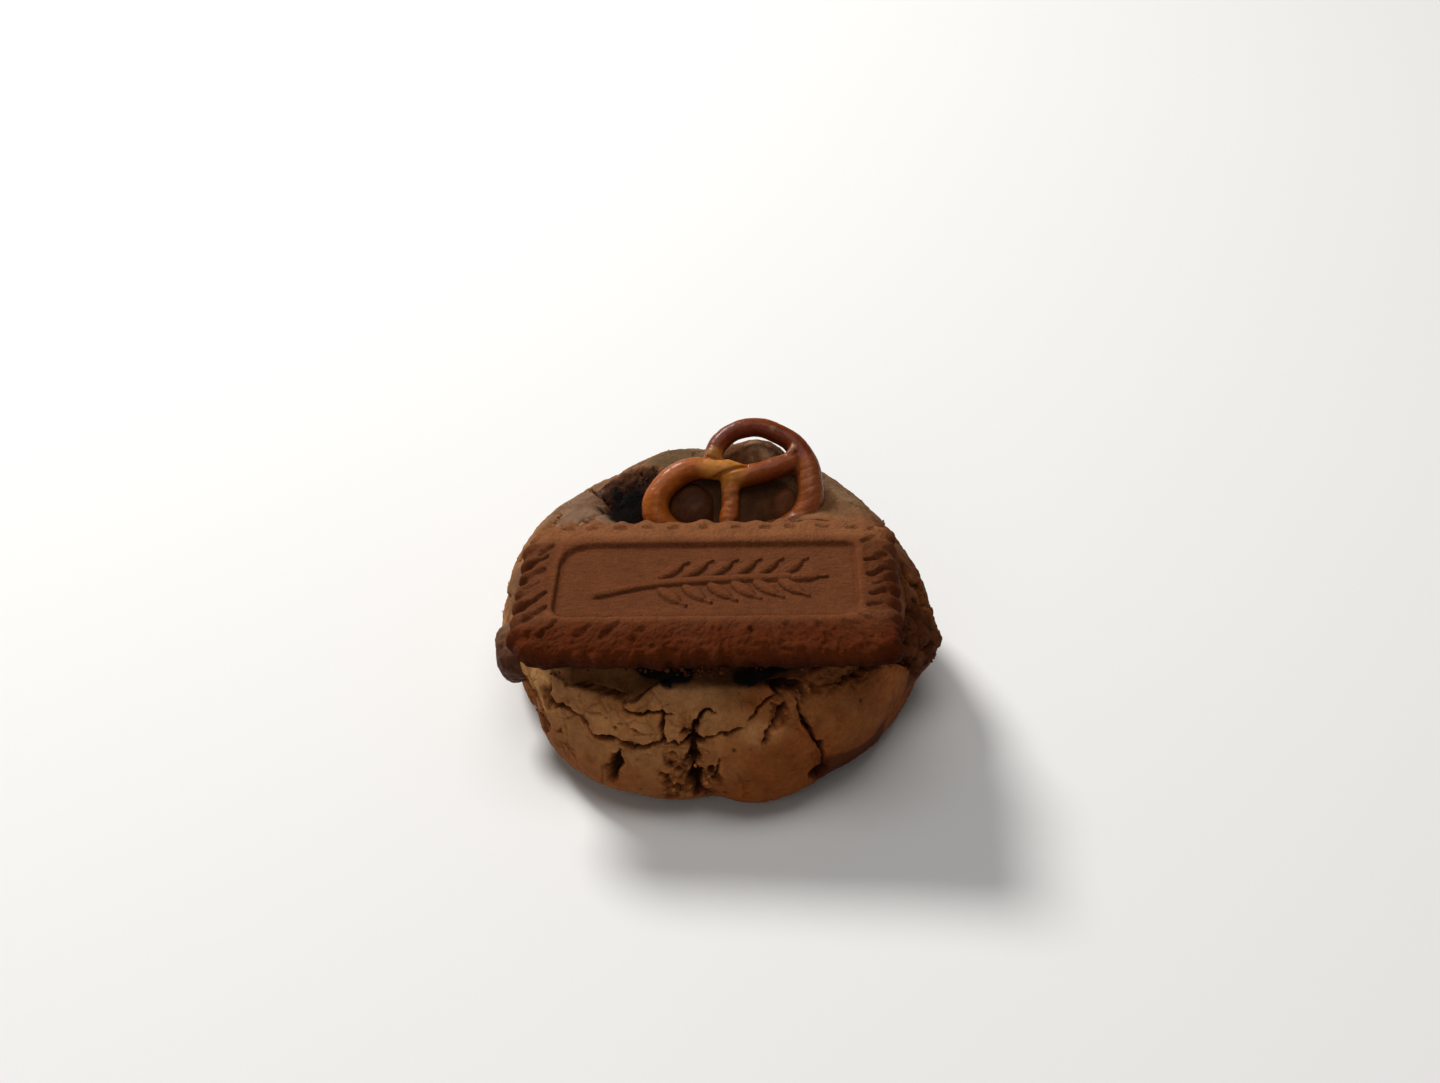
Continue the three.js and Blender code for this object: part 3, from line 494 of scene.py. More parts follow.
    lumps = 0.42 * N1(P, 13.0) + 0.26 * N5(P, 5.5) + 0.10 * N6(P, 2.4)
    h = lumps * (1 - 0.3 * front) + step - crack - 0.34 * pillow - back - 0.35 * pores - 0.28 * hair + knob
    h = h + 0.09 * fine[:, 1] + 0.065 * N2(P, 0.62) - 0.12 * wrinkle * (1 - choc)
    h = h + np.minimum(pillow, 0.8) * (0.24 * N1(P, 1.5) + 0.16 * N5(P, 0.8)) * (1 - choc)
    rough = np.where((crumb > 0.02))[0]
    grit = np.zeros(len(D))
    if len(rough):
        R = P[rough] + 0.25 * fine[rough]
        g1, g2, gm = cells(R, 1.25, 21)
        s1, _, _ = cells(R, 0.66, 33)
        grain = 0.75 * (0.62 - g1) * (0.5 + gm) + 0.32 * (0.34 - s1) + 0.30 * N4(R, 2.3)
        grit[rough] = grain
        h[rough] += crumb[rough] * grain * 0.95 * (1 - 0.6 * ease(az[rough], -31, -27) * ease(az[rough], -7, -11))
    r = base + h
    # pressed flat under the biscuit
    o = B_ROT.T @ (CENTRE - B_AT)
    L = D @ B_ROT
    hit = np.where(L[:, 2] > 1e-6, -o[2] / np.maximum(L[:, 2], 1e-6), 1e9)
    X, Y = o[0] + L[:, 0] * hit, o[1] + L[:, 1] * hit
    under = (biscuit_cover(X, Y) < 0.05) & (hit < 1e8)
    r = np.where(under, np.minimum(r, hit + 0.12), r)
    # and on what it stands on, with a slightly rounded foot
    flat = 8.0 / np.maximum(-D[:, 2], 1e-9)
    r = np.where(D[:, 2] < 0, np.minimum(r, flat), r)
    foot = ease(r / flat, 0.90, 1.0) * (D[:, 2] < 0)
    r = np.maximum(r, 2.0)
    return dict(r=r, P=CENTRE + D * r[:, None], az=az, el=el, crack=crack, crumb=crumb, pillow=pillow, rim=rim, choc=choc, pores=pores, hair=hair, grit=grit, back=back, front=front, foot=foot, lumps=lumps, coarse=coarse, under=under, knob=knob)


def dough_colour(f):
    P, az, el = f["P"], f["az"], f["el"]
    big, mid, small = layered(N3, P, 15.0, 2), layered(N1, P, 5.0, 3), N4(P, 1.0)
    pale, tan, brown = (0.190, 0.101, 0.0490), (0.310, 0.138, 0.0490), (0.208, 0.0580, 0.0130)
    # browner low down, at the right front and in patches; paler on top, at the left and behind: partly real browning,
    # partly painted light on top and at the left and painted shade at the right and low down
    right = ease(az, -95, -70) * ease(az, 40, -12)
    low = ease(P[:, 2], 14.5, 7)
    low = np.maximum(low, ease(np.hypot((az + 82) / 16, (el - 7) / 9), 1.1, 0.5) * 0.5)
    t = np.clip(0.80 * right + 0.72 * low + 0.30 * mid + 0.26 * big - 0.30 * ease(np.hypot((az + 78) / 7, (el - 14) / 4), 1.2, 0.4), 0, 1)
    c = mix(mix(pale, tan, ease(P[:, 2], 31, 18)), brown, t)
    # the smooth pinkish slab, a painted sheen on the crust, and the pale lip at the top left
    slab = ease(np.sqrt(((P - on_dough(155, 40)[0]) ** 2).sum(1)) + 0.6 * f["coarse"][:, 1], 7.4, 4.6)
    c = mix(c, (0.185, 0.109, 0.0690), slab * 0.9)
    c = mix(c, c * (1.38, 1.58, 1.60), ease(az, -136, -141) * ease(az, -172, -166) * ease(el, 6, 10) * ease(el, 19, 15) * 0.9)
    c = c * (1 + 0.16 * mid + 0.11 * small + 0.10 * N2(P, 0.5))[:, None]
    c = mix(c, c * (0.80, 0.68, 0.56), ease(layered(N6, P, 3.4, 3) + 0.3 * f["pillow"], 0.10, 0.55) * 0.65)
    c = mix(c, c * (0.74, 0.64, 0.56), ease(az, -92, -87) * ease(az, -74, -80) * ease(el, 19.5, 21.5) * 0.8)
    # paler lips along the cracks and round the pits: partly pale flaky crust, partly a painted highlight where light
    # catches the plate edges
    c = mix(c, c * (1.50, 1.47, 1.38), f["rim"] * (1 - ease(f["crack"], 0.1, 0.4)) * ease(N5(P, 2.2), -0.4, 0.4) * 0.9)
    # darker where the crust dips towards the cracks and along the hairline cracks: painted shade
    c = mix(c, c * (0.76, 0.62, 0.52), np.clip(f["pillow"] * 0.30 + 0.5 * f["hair"], 0, 1))
    # open crumb: red brown, paler on the tops of its grains and darker between them, partly its own mixed colour and
    # partly painted light and shade
    grain = ease(f["grit"], -0.30, 0.20)
    crumb = mix((0.110, 0.0300, 0.0085), (0.360, 0.132, 0.0390), grain * ease(layered(N2, P, 2.6, 2) + f["knob"], -0.7, 0.2))
    # painted shade: the crumb is darker down in the crater
    crater = ease(np.sqrt((((P - (-14.6, 12.6, 30.4)) / (5.8, 5.2, 5.0)) ** 2).sum(1)) + 0.12 * f["coarse"][:, 2], 1.1, 0.8)
    crumb = mix(crumb, crumb * (0.46, 0.38, 0.33), crater)
    c = mix(c, crumb, np.clip(f["crumb"] * 1.1, 0, 1))
    c = mix(c, c * (0.95, 0.80, 0.76), ease(np.hypot((az + 73) / 3.0, (el - 18) / 3.4), 1.2, 0.6) * np.clip(f["crumb"] + f["crack"], 0, 1))
    # painted shade: near black where the cracks and pits lie deep, and dark in the pores
    c = mix(c, (0.026, 0.0078, 0.0034), ease(f["crack"], 0.7, 1.8) * 0.9)
    c = mix(c, (0.070, 0.022, 0.0085), f["pores"] * 0.75)
    # the broken lump at the right, in dark red brown: partly its own darker crumb, partly painted shade on the side
    # away from the light
    lump = ease(az, -31, -27) * ease(az, -7.5, -11) * ease(el, 1, 5) * ease(el, 26.5, 23)
    c = mix(c, mix(c * (0.50, 0.42, 0.36), (0.050, 0.0120, 0.0030), 0.5), lump * 0.95)
    # browned foot and underside; at the right front it is turned under, red brown and dark: browned crust and painted
    # shade where it faces down
    c = mix(c, (0.115, 0.035, 0.0105), np.maximum(f["foot"] * 0.85, ease(P[:, 2] + 0.8 * mid, 3.8, 1.0) * 0.6))
    turned_under_shade = ease(az, -67, -62) * ease(az, -34, -40) * ease(P[:, 2] + 0.9 * mid - 0.035 * (az + 50) ** 2 * 0.1, 10.2, 9.2)
    c = mix(c, (0.066, 0.0160, 0.0050), turned_under_shade * 0.9)
    # painted shade: darker and more olive in the dip under the biscuit's front, where its shadow falls, and darker deep
    # in other hollows
    eave = np.interp(az, (-140, -133, -127.5, -119.5, -114.5, -112.5, -109, -107, -104.5, -98, -90, -84, -78, -72, -66, -60, -50, -40), (19, 18.2, 20, 20.5, 19.7, 21, 24, 25.0, 25.3, 25.4, 25.2, 25.2, 24.8, 24.4, 24.4, 25.2, 27, 30))
    shadow_under_edge = ease(el - eave + 0.5 * f["coarse"][:, 0], -0.2, 1.3) * ease(az, -141, -134) * ease(az, -42, -56) * ease(el, 44, 38)
    c = mix(c, c * (0.58, 0.50, 0.42), ease(f["back"], 1.0, 2.2))
    # a little paler on four plates
    for a, e, wide, tall, gain in ((-78.5, 14.5, 6, 3, (1.30, 1.34, 1.46)), (-115.5, 14, 8, 3, (1.22, 1.22, 1.24)), (-38.5, 15.5, 7, 6, (1.28, 1.24, 1.18)), (20, 43, 16, 7, (1.20, 1.32, 1.42))):
        c = mix(c, c * gain, ease(np.hypot((az - a) / wide, (el - e) / tall) + 0.25 * mid, 1.25, 0.5))
    # painted shadow under the biscuit's front edge, darkest close to the edge
    c = mix(c, c * (0.48, 0.41, 0.33), shadow_under_edge * 0.95)
    c = mix(c, c * (0.42, 0.38, 0.36), shadow_under_edge * ease(el - eave, 0.4, 3.2 + 1.2 * f["coarse"][:, 1]) * (0.35 + 0.65 * ease(az, -117, -108)))
    f["strip"] = shadow_under_edge
    # painted shade on the crater's wall: near black, browner towards the back
    crater_wall_shade = ease(np.sqrt((((P - (-14.8, 13.8, 30.8)) / (6.2, 3.9, 4.4)) ** 2).sum(1)) + 0.22 * f["coarse"][:, 2] + 0.14 * small, 1.10, 0.82)
    c = mix(c, mix((0.016, 0.0050, 0.0022), (0.078, 0.026, 0.0095), ease(small + 0.6 * mid + 0.30 * (P[:, 1] - 14.6), -0.6, 1.0)), crater_wall_shade * 0.93)
    # the crust above the crater and the strip left of the biscuit are a little darker
    c = mix(c, c * (0.60, 0.66, 0.62), ease(np.sqrt(((P - (-7.0, 16.5, 33.8)) ** 2).sum(1)), 6.5, 3.5))
    c = mix(c, c * (0.66, 0.66, 0.76), ease(np.hypot(((az + 364) % 360 - 191) / 9, (el - 23) / 9) + 0.2 * f["coarse"][:, 0], 1.15, 0.7))
    # the lump behind the pretzel's arch is dark below and paler on top, painted shade and painted light; the crust at
    # the right is darker, painted shade
    arch = ease(np.sqrt((((P - (6.4, 15.9, 35.3)) / (6.4, 5.0, 4.5)) ** 2).sum(1)) + 0.10 * f["coarse"][:, 1], 1.15, 0.75)
    c = mix(c, mix((0.105, 0.034, 0.0105), (0.370, 0.200, 0.105), ease(mid + 0.5 * small + 0.42 * (P[:, 2] - 36.2), -0.35, 0.65)), arch * 0.9)
    c = mix(c, c * (0.66, 0.60, 0.56), ease(az, 34, 14) * ease(az, -24, -14) * ease(el, 46, 34) * (1 - lump) * 0.85)
    # inside the pretzel's loops the dough is dark brown: partly chocolate smeared there, partly painted shade of the
    # hollow under the pretzel; chocolate also lies on the crater's floor
    L = (P - PZ_AT) @ PZ_ROT
    loops = ease(np.hypot((L[:, 0] - 2.3) / 12.6, (L[:, 1] - 2.0) / 6.6) + 0.10 * f["coarse"][:, 0], 1.02, 0.88) * (L[:, 2] < 3)
    c = mix(c, mix((0.030, 0.0105, 0.0045), (0.080, 0.029, 0.0115), ease(layered(N5, P, 3.2, 2), -0.5, 0.6)), loops * 0.92)
    return mix(c, (0.0032, 0.0019, 0.0012), f["choc"])


def make_dough():
    D, F = geodesic(196)
    # fewer directions go to the flat underside
    s = D[:, 2]
    cutoff, edge = -0.86, -0.235
    s2 = np.where(s < cutoff, -1 + (s + 1) * (edge + 1) / (cutoff + 1), edge + (s - cutoff) * (1 - edge) / (1 - cutoff))
    flat = np.sqrt(np.maximum(1 - s2 * s2, 0)) / np.maximum(np.hypot(D[:, 0], D[:, 1]), 1e-9)
    D = np.stack([D[:, 0] * flat, D[:, 1] * flat, s2], 1)
    D /= np.linalg.norm(D, axis=1, keepdims=True)
    f = dough(D)
    o = add_object("cracked_dough", mesh_from("cracked_dough", f["P"], F))
    thin(o, 196000)
    P = points_of(o)
    D = P - CENTRE
    D /= np.linalg.norm(D, axis=1, keepdims=True)
    f = dough(D)
    f["P"] = P
    wet = np.clip(f["choc"], 0, 1)
    f["tone"] = dough_colour(f)
    paint(o, tone=f["tone"], wet=wet, open_crumb=np.clip(np.maximum(f["crumb"], f["rim"] * 0.2), 0, 1))
    smooth(o)
    return o, f


# ---- the biscuit -----------------------------------------------------------------------------
def outline(t, a, b, corners):
    """Points of a rounded rectangle and their outward normals; t from 0 to 1 from the middle of the right end."""
    c0, c1, c2, c3 = corners
    q = math.pi / 2
    length = [b - c0, q * c0, 2 * a - c0 - c1, q * c1, 2 * b - c1 - c2, q * c2, 2 * a - c2 - c3, q * c3, b - c3]
    run = np.concatenate([[0], np.cumsum(length)])
    s = (t % 1.0) * run[-1]
    leg = np.clip(np.searchsorted(run, s, side="right") - 1, 0, 8)
    u = s - run[leg]
    zero, one = np.zeros_like(u), np.ones_like(u)
    A = [u / c for c in (c0, c1, c2, c3)]
    forms = [
        (a * one, u, one, zero),
        (a - c0 + c0 * np.cos(A[0]), b - c0 + c0 * np.sin(A[0]), np.cos(A[0]), np.sin(A[0])),
        (a - c0 - u, b * one, zero, one),
        (-a + c1 - c1 * np.sin(A[1]), b - c1 + c1 * np.cos(A[1]), -np.sin(A[1]), np.cos(A[1])),
        (-a * one, b - c1 - u, -one, zero),
        (-a + c2 - c2 * np.cos(A[2]), -b + c2 - c2 * np.sin(A[2]), -np.cos(A[2]), -np.sin(A[2])),
        (-a + c2 + u, -b * one, zero, -one),
        (a - c3 + c3 * np.sin(A[3]), -b + c3 - c3 * np.cos(A[3]), np.sin(A[3]), -np.cos(A[3])),
        (a * one, -b + c3 + u, one, zero),
    ]
    return [np.choose(leg, [f[k] for f in forms]) for k in range(4)]


def sprig_height(X, Y):
    """The raised ear of wheat in the panel: a stem, paired grains with a crease, and fine awns. Height in mm."""
    knots = np.array([(-17.2, -3.0), (-8.2, -0.6), (2.8, 0.4), (12.8, 0.8)])
    u = np.linspace(0, 1, 61)
    k = np.minimum((u * 3).astype(int), 2)
    v = u * 3 - k
    ext = np.vstack([2 * knots[0] - knots[1], knots, 2 * knots[3] - knots[2]])
    p0, p1, p2, p3 = (ext[k + j] for j in range(4))
    v = v[:, None]
    line = 0.5 * (2 * p1 + (p2 - p0) * v + (2 * p0 - 5 * p1 + 4 * p2 - p3) * v**2 + (3 * p1 - p0 - 3 * p2 + p3) * v**3)
    high = np.zeros_like(X)

    def stroke(a, b, wide, tall, high):
        ab = b - a
        t = np.clip(((X - a[0]) * ab[0] + (Y - a[1]) * ab[1]) / (ab @ ab), 0, 1)
        d = np.hypot(X - a[0] - t * ab[0], Y - a[1] - t * ab[1])
        return np.maximum(high, tall * np.sqrt(np.clip(1 - (d / wide) ** 2, 0, 1)) * ease(d, wide, wide * 0.55) ** 0.5)

    for a, b in zip(line[:-1], line[1:]):
        high = stroke(a, b, 0.95, 0.62, high)
    grains = []
    for i in range(6):
        share = i / 5
        at = line[int(round((0.36 + 0.6 * share) * 60))]
        for side in (-1, 1):
            grains.append((at[0] + 1.4, at[1] + side * 2.9 * (1 - 0.22 * share), math.radians(side * 44 + 0.7 * i)))
    grains.append((line[-1][0] + 2.4, line[-1][1], math.radians(4)))
    for gx, gy, turn in grains:
        c, s = math.cos(turn), math.sin(turn)
        p, q = (X - gx) * c + (Y - gy) * s, -(X - gx) * s + (Y - gy) * c
        e = np.clip(1 - (p / 2.55) ** 2, 0, 1)
        wide = 1.12 * e**0.5 + 1e-6
        body = np.clip(1 - (q / wide) ** 2, 0, 1) ** 0.6 * e**0.35 * 0.74
        body = body - 0.07 * np.exp(-((q / 0.24) ** 2)) * e
        high = np.maximum(high, np.clip(body, 0, 1))
        tip = np.array((gx + 2.4 * c, gy + 2.4 * s))
        high = stroke(tip, tip + 1.2 * np.array((c, s * 0.6)), 0.42, 0.40, high)
    return high


# Notches pressed into the border: where each starts and ends in the biscuit's plan, half width and depth (mm).
NOTCHES = [
    ((-24.9, 8.8), (-26.5, 7.0), 0.55, 0.75), ((-25.6, 6.1), (-29.2, 4.3), 0.62, 0.95), ((-26.0, 2.9), (-29.9, 1.4), 0.75, 0.95), ((-26.4, -0.2), (-28.6, -1.2), 0.42, 0.45),
    ((-25.4, -2.9), (-29.0, -5.8), 0.55, 0.95), ((-24.8, -6.3), (-28.0, -8.7), 0.58, 0.95), ((-22.9, -9.7), (-25.3, -12.2), 0.60, 0.80),
    ((-17.6, -10.6), (-19.4, -12.3), 0.60, 0.60), ((-13.2, -10.2), (-15.2, -12.8), 0.70, 0.65), ((-9.2, -11.0), (-10.2, -13.0), 0.60, 0.30), ((-4.6, -11.4), (-5.2, -13.6), 0.60, 0.28),
    ((1.6, -11.2), (1.6, -13.4), 0.50, 0.30), ((7.2, -11.4), (7.8, -14.0), 0.60, 0.35), ((12.6, -10.6), (14.0, -13.0), 0.60, 0.40), ((17.6, -10.8), (19.6, -13.4), 0.65, 0.50), ((21.6, -10.0), (24.2, -12.6), 0.60, 0.45),
    ((24.6, 8.5), (26.4, 10.0), 0.55, 0.60), ((25.1, 4.0), (28.5, 6.2), 0.62, 0.95), ((25.7, 0.9), (29.1, 3.2), 0.68, 0.95), ((25.8, -3.8), (27.9, -2.4), 0.52, 0.75),
    ((25.2, -6.7), (27.4, -5.6), 0.45, 0.55), ((24.0, -8.8), (26.2, -9.9), 0.45, 0.50), ((26.3, -1.2), (28.6, 0.0), 0.40, 0.45),
]
NOTCHES += [((x - wide, y), (x + wide, y), 0.62, 0.62) for x, y, wide in ((-22.9, 13.1, 0.5), (-19.1, 13.1, 0.5), (-14.4, 13.0, 0.6), (-9.9, 13.3, 0.4), (-5.9, 13.1, 0.6), (-0.8, 13.2, 0.3), (4.6, 13.0, 0.6), (9.0, 12.9, 0.7), (13.0, 13.1, 0.5), (18.3, 13.0, 0.6), (22.8, 12.8, 0.6), (26.0, 12.3, 0.3))]


def notch_depth(X, Y):
    cut = np.zeros_like(X)
    x, y = X + 0.28 * N2(np.stack([X, Y, 0 * X], 1), 1.6), Y + 0.28 * N3(np.stack([X, Y, 0 * X], 1), 1.6)
    for (x0, y0), (x1, y1), wide, deep in NOTCHES:
        ab = np.array((x1 - x0, y1 - y0))
        t = np.clip(((x - x0) * ab[0] + (y - y0) * ab[1]) / (ab @ ab), 0, 1)
        d = np.hypot(x - x0 - t * ab[0], y - y0 - t * ab[1]) / (wide * (0.75 + 0.45 * t) * (1 + 0.35 * N5(np.stack([X, Y, 0 * X], 1), 1.9)))
        cut = np.maximum(cut, deep * 0.70 * ease(d, 1.45, 0.10))
    return cut


def biscuit_surface():
    """Rings of points from the underside's edge up over the border and into the panel, in the biscuit's own frame."""
    n = 1200
    t = np.arange(n) / n
    key = [(0.60, 0.0, 0.0), (0.22, 0.0, 0.25), (0.10, 0.12, 0.5), (0.03, 0.7, 0.9), (0.0, 1.8, 1.0), (0.02, 2.7, 1.0), (0.07, 3.35, 0.95), (0.17, 3.95, 0.85), (0.30, 4.35, 0.75), (0.46, 4.60, 0.55), (0.60, 4.76, 0.35), (0.70, 4.90, 0.15), (0.78, 5.04, 0.02), (0.87, 5.06, 0.0), (0.915, 4.96, 0.0), (0.938, 4.6, 0.0), (0.955, 4.3, 0.0), (0.985, 4.2, 0.0), (1.04, 4.2, 0.0)]
    key = np.array(key)
    gap = np.hypot(np.diff(key[:, 0]) * 8, np.diff(key[:, 1]))
    run = np.concatenate([[0], np.cumsum(gap)])
    count = 74
    at = np.linspace(0, run[-1], count)
    share, z, tooth = (np.interp(at, run, key[:, k]) for k in range(3))
    for arr in (share, z):
        arr[1:-1] = 0.25 * arr[:-2] + 0.5 * arr[1:-1] + 0.25 * arr[2:]
    rings = []
    # the side is fluted all round, uneven as pressed dough is
    rng = np.random.default_rng(77)
    teeth = 44
    centre = (np.arange(teeth) + 0.5 + rng.uniform(-0.2, 0.2, teeth)) / teeth
    bite = rng.uniform(0.3, 1.1, teeth)
    for s, height, tt in zip(share, z, tooth):
        corners = [c + (q - c) * min(s, 1.0) for c, q in zip(B_CORNERS, (1.5, 4.8, 2.0, 3.8))]
        x, y, nx, ny = outline(t, B_A - B_END * s, B_B - B_BORDER * s, corners)
        cut = np.zeros(n)
        for c, deep in zip(centre, bite):
            d = ((t - c + 0.5) % 1 - 0.5) * 180.0
            cut = np.maximum(cut, deep * np.exp(-np.abs(d / 0.85) ** 2.0))
        cut = cut * tt * ease(s, 0.30, 0.05) * ease(height, 4.3, 3.2)
        cut = cut + (0.55 + 0.75 * N1(np.stack([x, 0 * x, y], 1), 4.4) + 0.4 * N6(np.stack([x, 0 * x, y], 1), 1.7)) * ease(y, -B_B * 0.80, -B_B * 0.97) * ease(height, 4.2, 1.0)
        x = x - nx * cut * 0.42
        y = y - ny * cut * 0.42
        rings.append(np.stack([x * (1 - B_TAPER * (y + B_B) / (2 * B_B)), y, np.full(n, height), np.full(n, s), cut], 1))
    # the panel shrinks on to a line in its middle
    edge = rings[-1]
    tau = np.minimum(t, 1 - t) * 2
    spine = 15.2 * np.clip((0.5 - tau) / 0.41, -1, 1)
    steps = 46
    for k in range(1, steps + 1):
        u = k / steps * 0.985
        ring = edge.copy()
        ring[:, 0] = edge[:, 0] * (1 - u) + (spine - 0.1) * u
        ring[:, 1] = edge[:, 1] * (1 - u)
        ring[:, 3] = 1.05 + u
        ring[:, 4] = 0
        rings.append(ring)
    return np.array(rings), n


def biscuit_relief(L):
    """Small relief of the biscuit's surface at points L of its own frame: x, y, height, share of the border, cut."""
    P = L[:, :3] + (40, 10, 0)
    inside = ease(L[:, 3], 0.98, 1.06)
    sides = 1 - inside
    streak = layered(N5, P * (0.22, 1.0, 1.0), 0.62, 2)
    high = 0.045 * streak * inside + 0.03 * N2(P, 0.5) + 0.05 * N1(P, 2.2)
    swell = 0.22 * N3(P, 4.6) + 0.22 * N6(P, 2.2) + 0.15 * N4(P, 1.0) + 0.08 * N1(P, 0.55)
    frontness = ease(L[:, 1], -9.2, -12)
    knobs, _, mark = cells(P + 0.5 * N2(P, 1.4)[:, None], 2.7, 51)
    swell = swell + frontness * 0.42 * (mark - 0.15) * ease(knobs, 1.5, 0.2)
    rimband = ease(L[:, 3], 0.70, 0.78)
    high = high + swell * sides * (0.50 + 0.95 * frontness) * (1 - 0.75 * rimband) * ease(L[:, 2], 0.0, 1.0)
    # knobs of the back edge and of the short sides, between the notches
    high = high + sides * ease(L[:, 3], 0.42, 0.15) * 0.40 * (0.85 * ease(L[:, 1], 11, 14) * (0.8 + N1(P, 6.0)) * np.cos((L[:, 0] + 1.2 + 0.9 * N3(P, 7.0)) * 2 * math.pi / 4.3) + ease(np.abs(L[:, 0]), 25.5, 28) * np.cos((L[:, 1] + 0.9) * 2 * math.pi / 3.3)) * ease(L[:, 2], 0.6, 2.4)
    high = high - notch_depth(L[:, 0], L[:, 1]) * sides * ease(L[:, 2], 0.6, 3.2)
    # a small chip stands up at the right front corner
    high = high + 0.5 * ease(np.hypot(L[:, 0] - 29.2, (L[:, 1] + 13.6) * 0.6), 1.3, 0.4) * sides
    pits, _, mark = cells(P, 1.5, 44)
    hole = ease(pits, 0.34, 0.10) * (mark > 0.72)
    return high - 0.10 * hole, hole


def make_biscuit():
    rings, n = biscuit_surface()
    m = len(rings)
    L = rings.reshape(-1, 5)
    # normals for the small relief come from the coarse form
    G = rings[:, :, :3]
    du = np.roll(G, -1, 1) - np.roll(G, 1, 1)
    dv = np.gradient(G, axis=0)
    N = np.cross(du, dv)
    N /= np.maximum(np.linalg.norm(N, axis=2, keepdims=True), 1e-9)
    N = N.reshape(-1, 3)
    high, _ = biscuit_relief(L)
    ear = np.where(L[:, 3] > 1.0, sprig_height(L[:, 0], L[:, 1]), 0)
    P = L[:, :3] + N * high[:, None]
    P[:, 2] += ear * 1.05
    P[:, 2] = np.where(L[:, 2] <= 0.001, L[:, 2], P[:, 2])
    i = np.arange(n)
    j = (i + 1) % n
    F = []
    for r in range(m - 1):
        a, b = r * n, (r + 1) * n
        F += [np.stack([a + i, a + j, b + j], 1), np.stack([a + i, b + j, b + i], 1)]
    last = (m - 1) * n
    half = n // 2
    k = np.arange(1, half - 1)
    F += [np.stack([last + k, last + k + 1, last + n - k - 1], 1), np.stack([last + k, last + n - k - 1, last + n - k], 1)]
    F += [np.array([(last, last + 1, last + n - 1), (last + half - 1, last + half, last + half + 1)])]
    mid = len(P)
    P = np.vstack([P, [(0, 0, 0.0)]])
    F += [np.stack([np.full(n, mid), j, i], 1)]
    W = P @ B_ROT.T + B_AT
    o = add_object("pressed_biscuit", mesh_from("pressed_biscuit", W, np.concatenate(F)))
    thin(o, 188000)
    W = points_of(o)
    L = (W - B_AT) @ B_ROT
    X, Y, Z = L.T
    out = -biscuit_cover(X, Y)
    # share of the border, from the nearer of the long and short edges
    xs = X / (1 - B_TAPER * (Y + B_B) / (2 * B_B))
    share = np.minimum((B_A - np.abs(xs)) / B_END, (B_B - np.abs(Y)) / B_BORDER)
    panel = ease(share, 0.97, 1.03) * (Z > 2)
    Q = L + (40, 10, 0)
    mid_n, small = layered(N1, Q, 4.5, 3), N4(Q, 0.8)
    face, edge_c, deep = (0.138, 0.0440, 0.0162), (0.092, 0.0175, 0.0032), (0.056, 0.0110, 0.0025)
    side = ease(Z, 4.7, 1.6)
    front = ease(Y, -8.5, -12.5)
    c = mix(face, edge_c, np.clip(0.15 + 0.55 * side + 0.75 * front + 0.35 * mid_n, 0, 1) * (1 - panel))
    c = mix(c, (0.170, 0.0540, 0.0185), ease(share, 0.72, 0.86) * ease(share, 1.0, 0.92) * (Z > 4.3) * 0.65)
    # paler along the back border: painted light where the light from behind falls
    c = mix(c, (0.245, 0.0930, 0.0360), ease(Y, 8.5, 11) * ease(Z, 2.5, 4.2) * 0.8)
    c = mix(c, c * (0.68, 0.56, 0.46), ease(X, 26.0, 28.8) * ease(Y, 7, 1) * (1 - panel) * 0.9)
    # the skirt is unevenly baked, red brown in patches
    c = mix(c, (0.070, 0.0135, 0.0026), front * (1 - panel) * ease(layered(N6, Q, 3.4, 3), 0.0, 0.55) * 0.75)
    # the notches and the foot of the sides are darker, the foot darkest: partly a darker bake, partly painted shade in
    # the notches and where the biscuit meets the dough
    notch = notch_depth(X, Y) * (1 - panel) * ease(Z, 0.6, 3.0)
    c = mix(c, deep, np.clip(0.50 * ease(notch, 0.1, 0.7) + 0.80 * ease(Z, 2.0, 0.1), 0, 1))
    # a pale line along the inner slope of the rim below the panel: painted highlight where it faces the light
    c = mix(c, (0.185, 0.0640, 0.0250), ease(Y, -6.9, -7.5) * ease(Y, -9.4, -8.6) * (1 - panel) * (Z > 4.0) * 0.55)
    # darker and cooler low on the front side: painted shade
    c = mix(c, c * (0.50, 0.54, 0.75), front * ease(Z, 3.8, 1.2))
    # the ear is lighter on its raised tops, painted light, and darker round its foot and along the panel's edge,
    # painted shade
    ear = sprig_height(X, Y) * (panel > 0.5)
    c = mix(c, c * (1.10, 1.06, 1.02), ease(ear, 0.25, 0.6))
    ring = ease(ear, 0.02, 0.12) * ease(ear, 0.42, 0.2)
    c = mix(c, c * (0.72, 0.64, 0.58), ring * 0.8)
    c = mix(c, c * (0.78, 0.70, 0.64), panel * ease(share, 1.10, 1.0) * 0.7)
    c = c * (1 + 0.10 * mid_n + 0.06 * small)[:, None]
    paint(o, tone=c, place=L * MM, panel=panel)
    smooth(o)
    return o


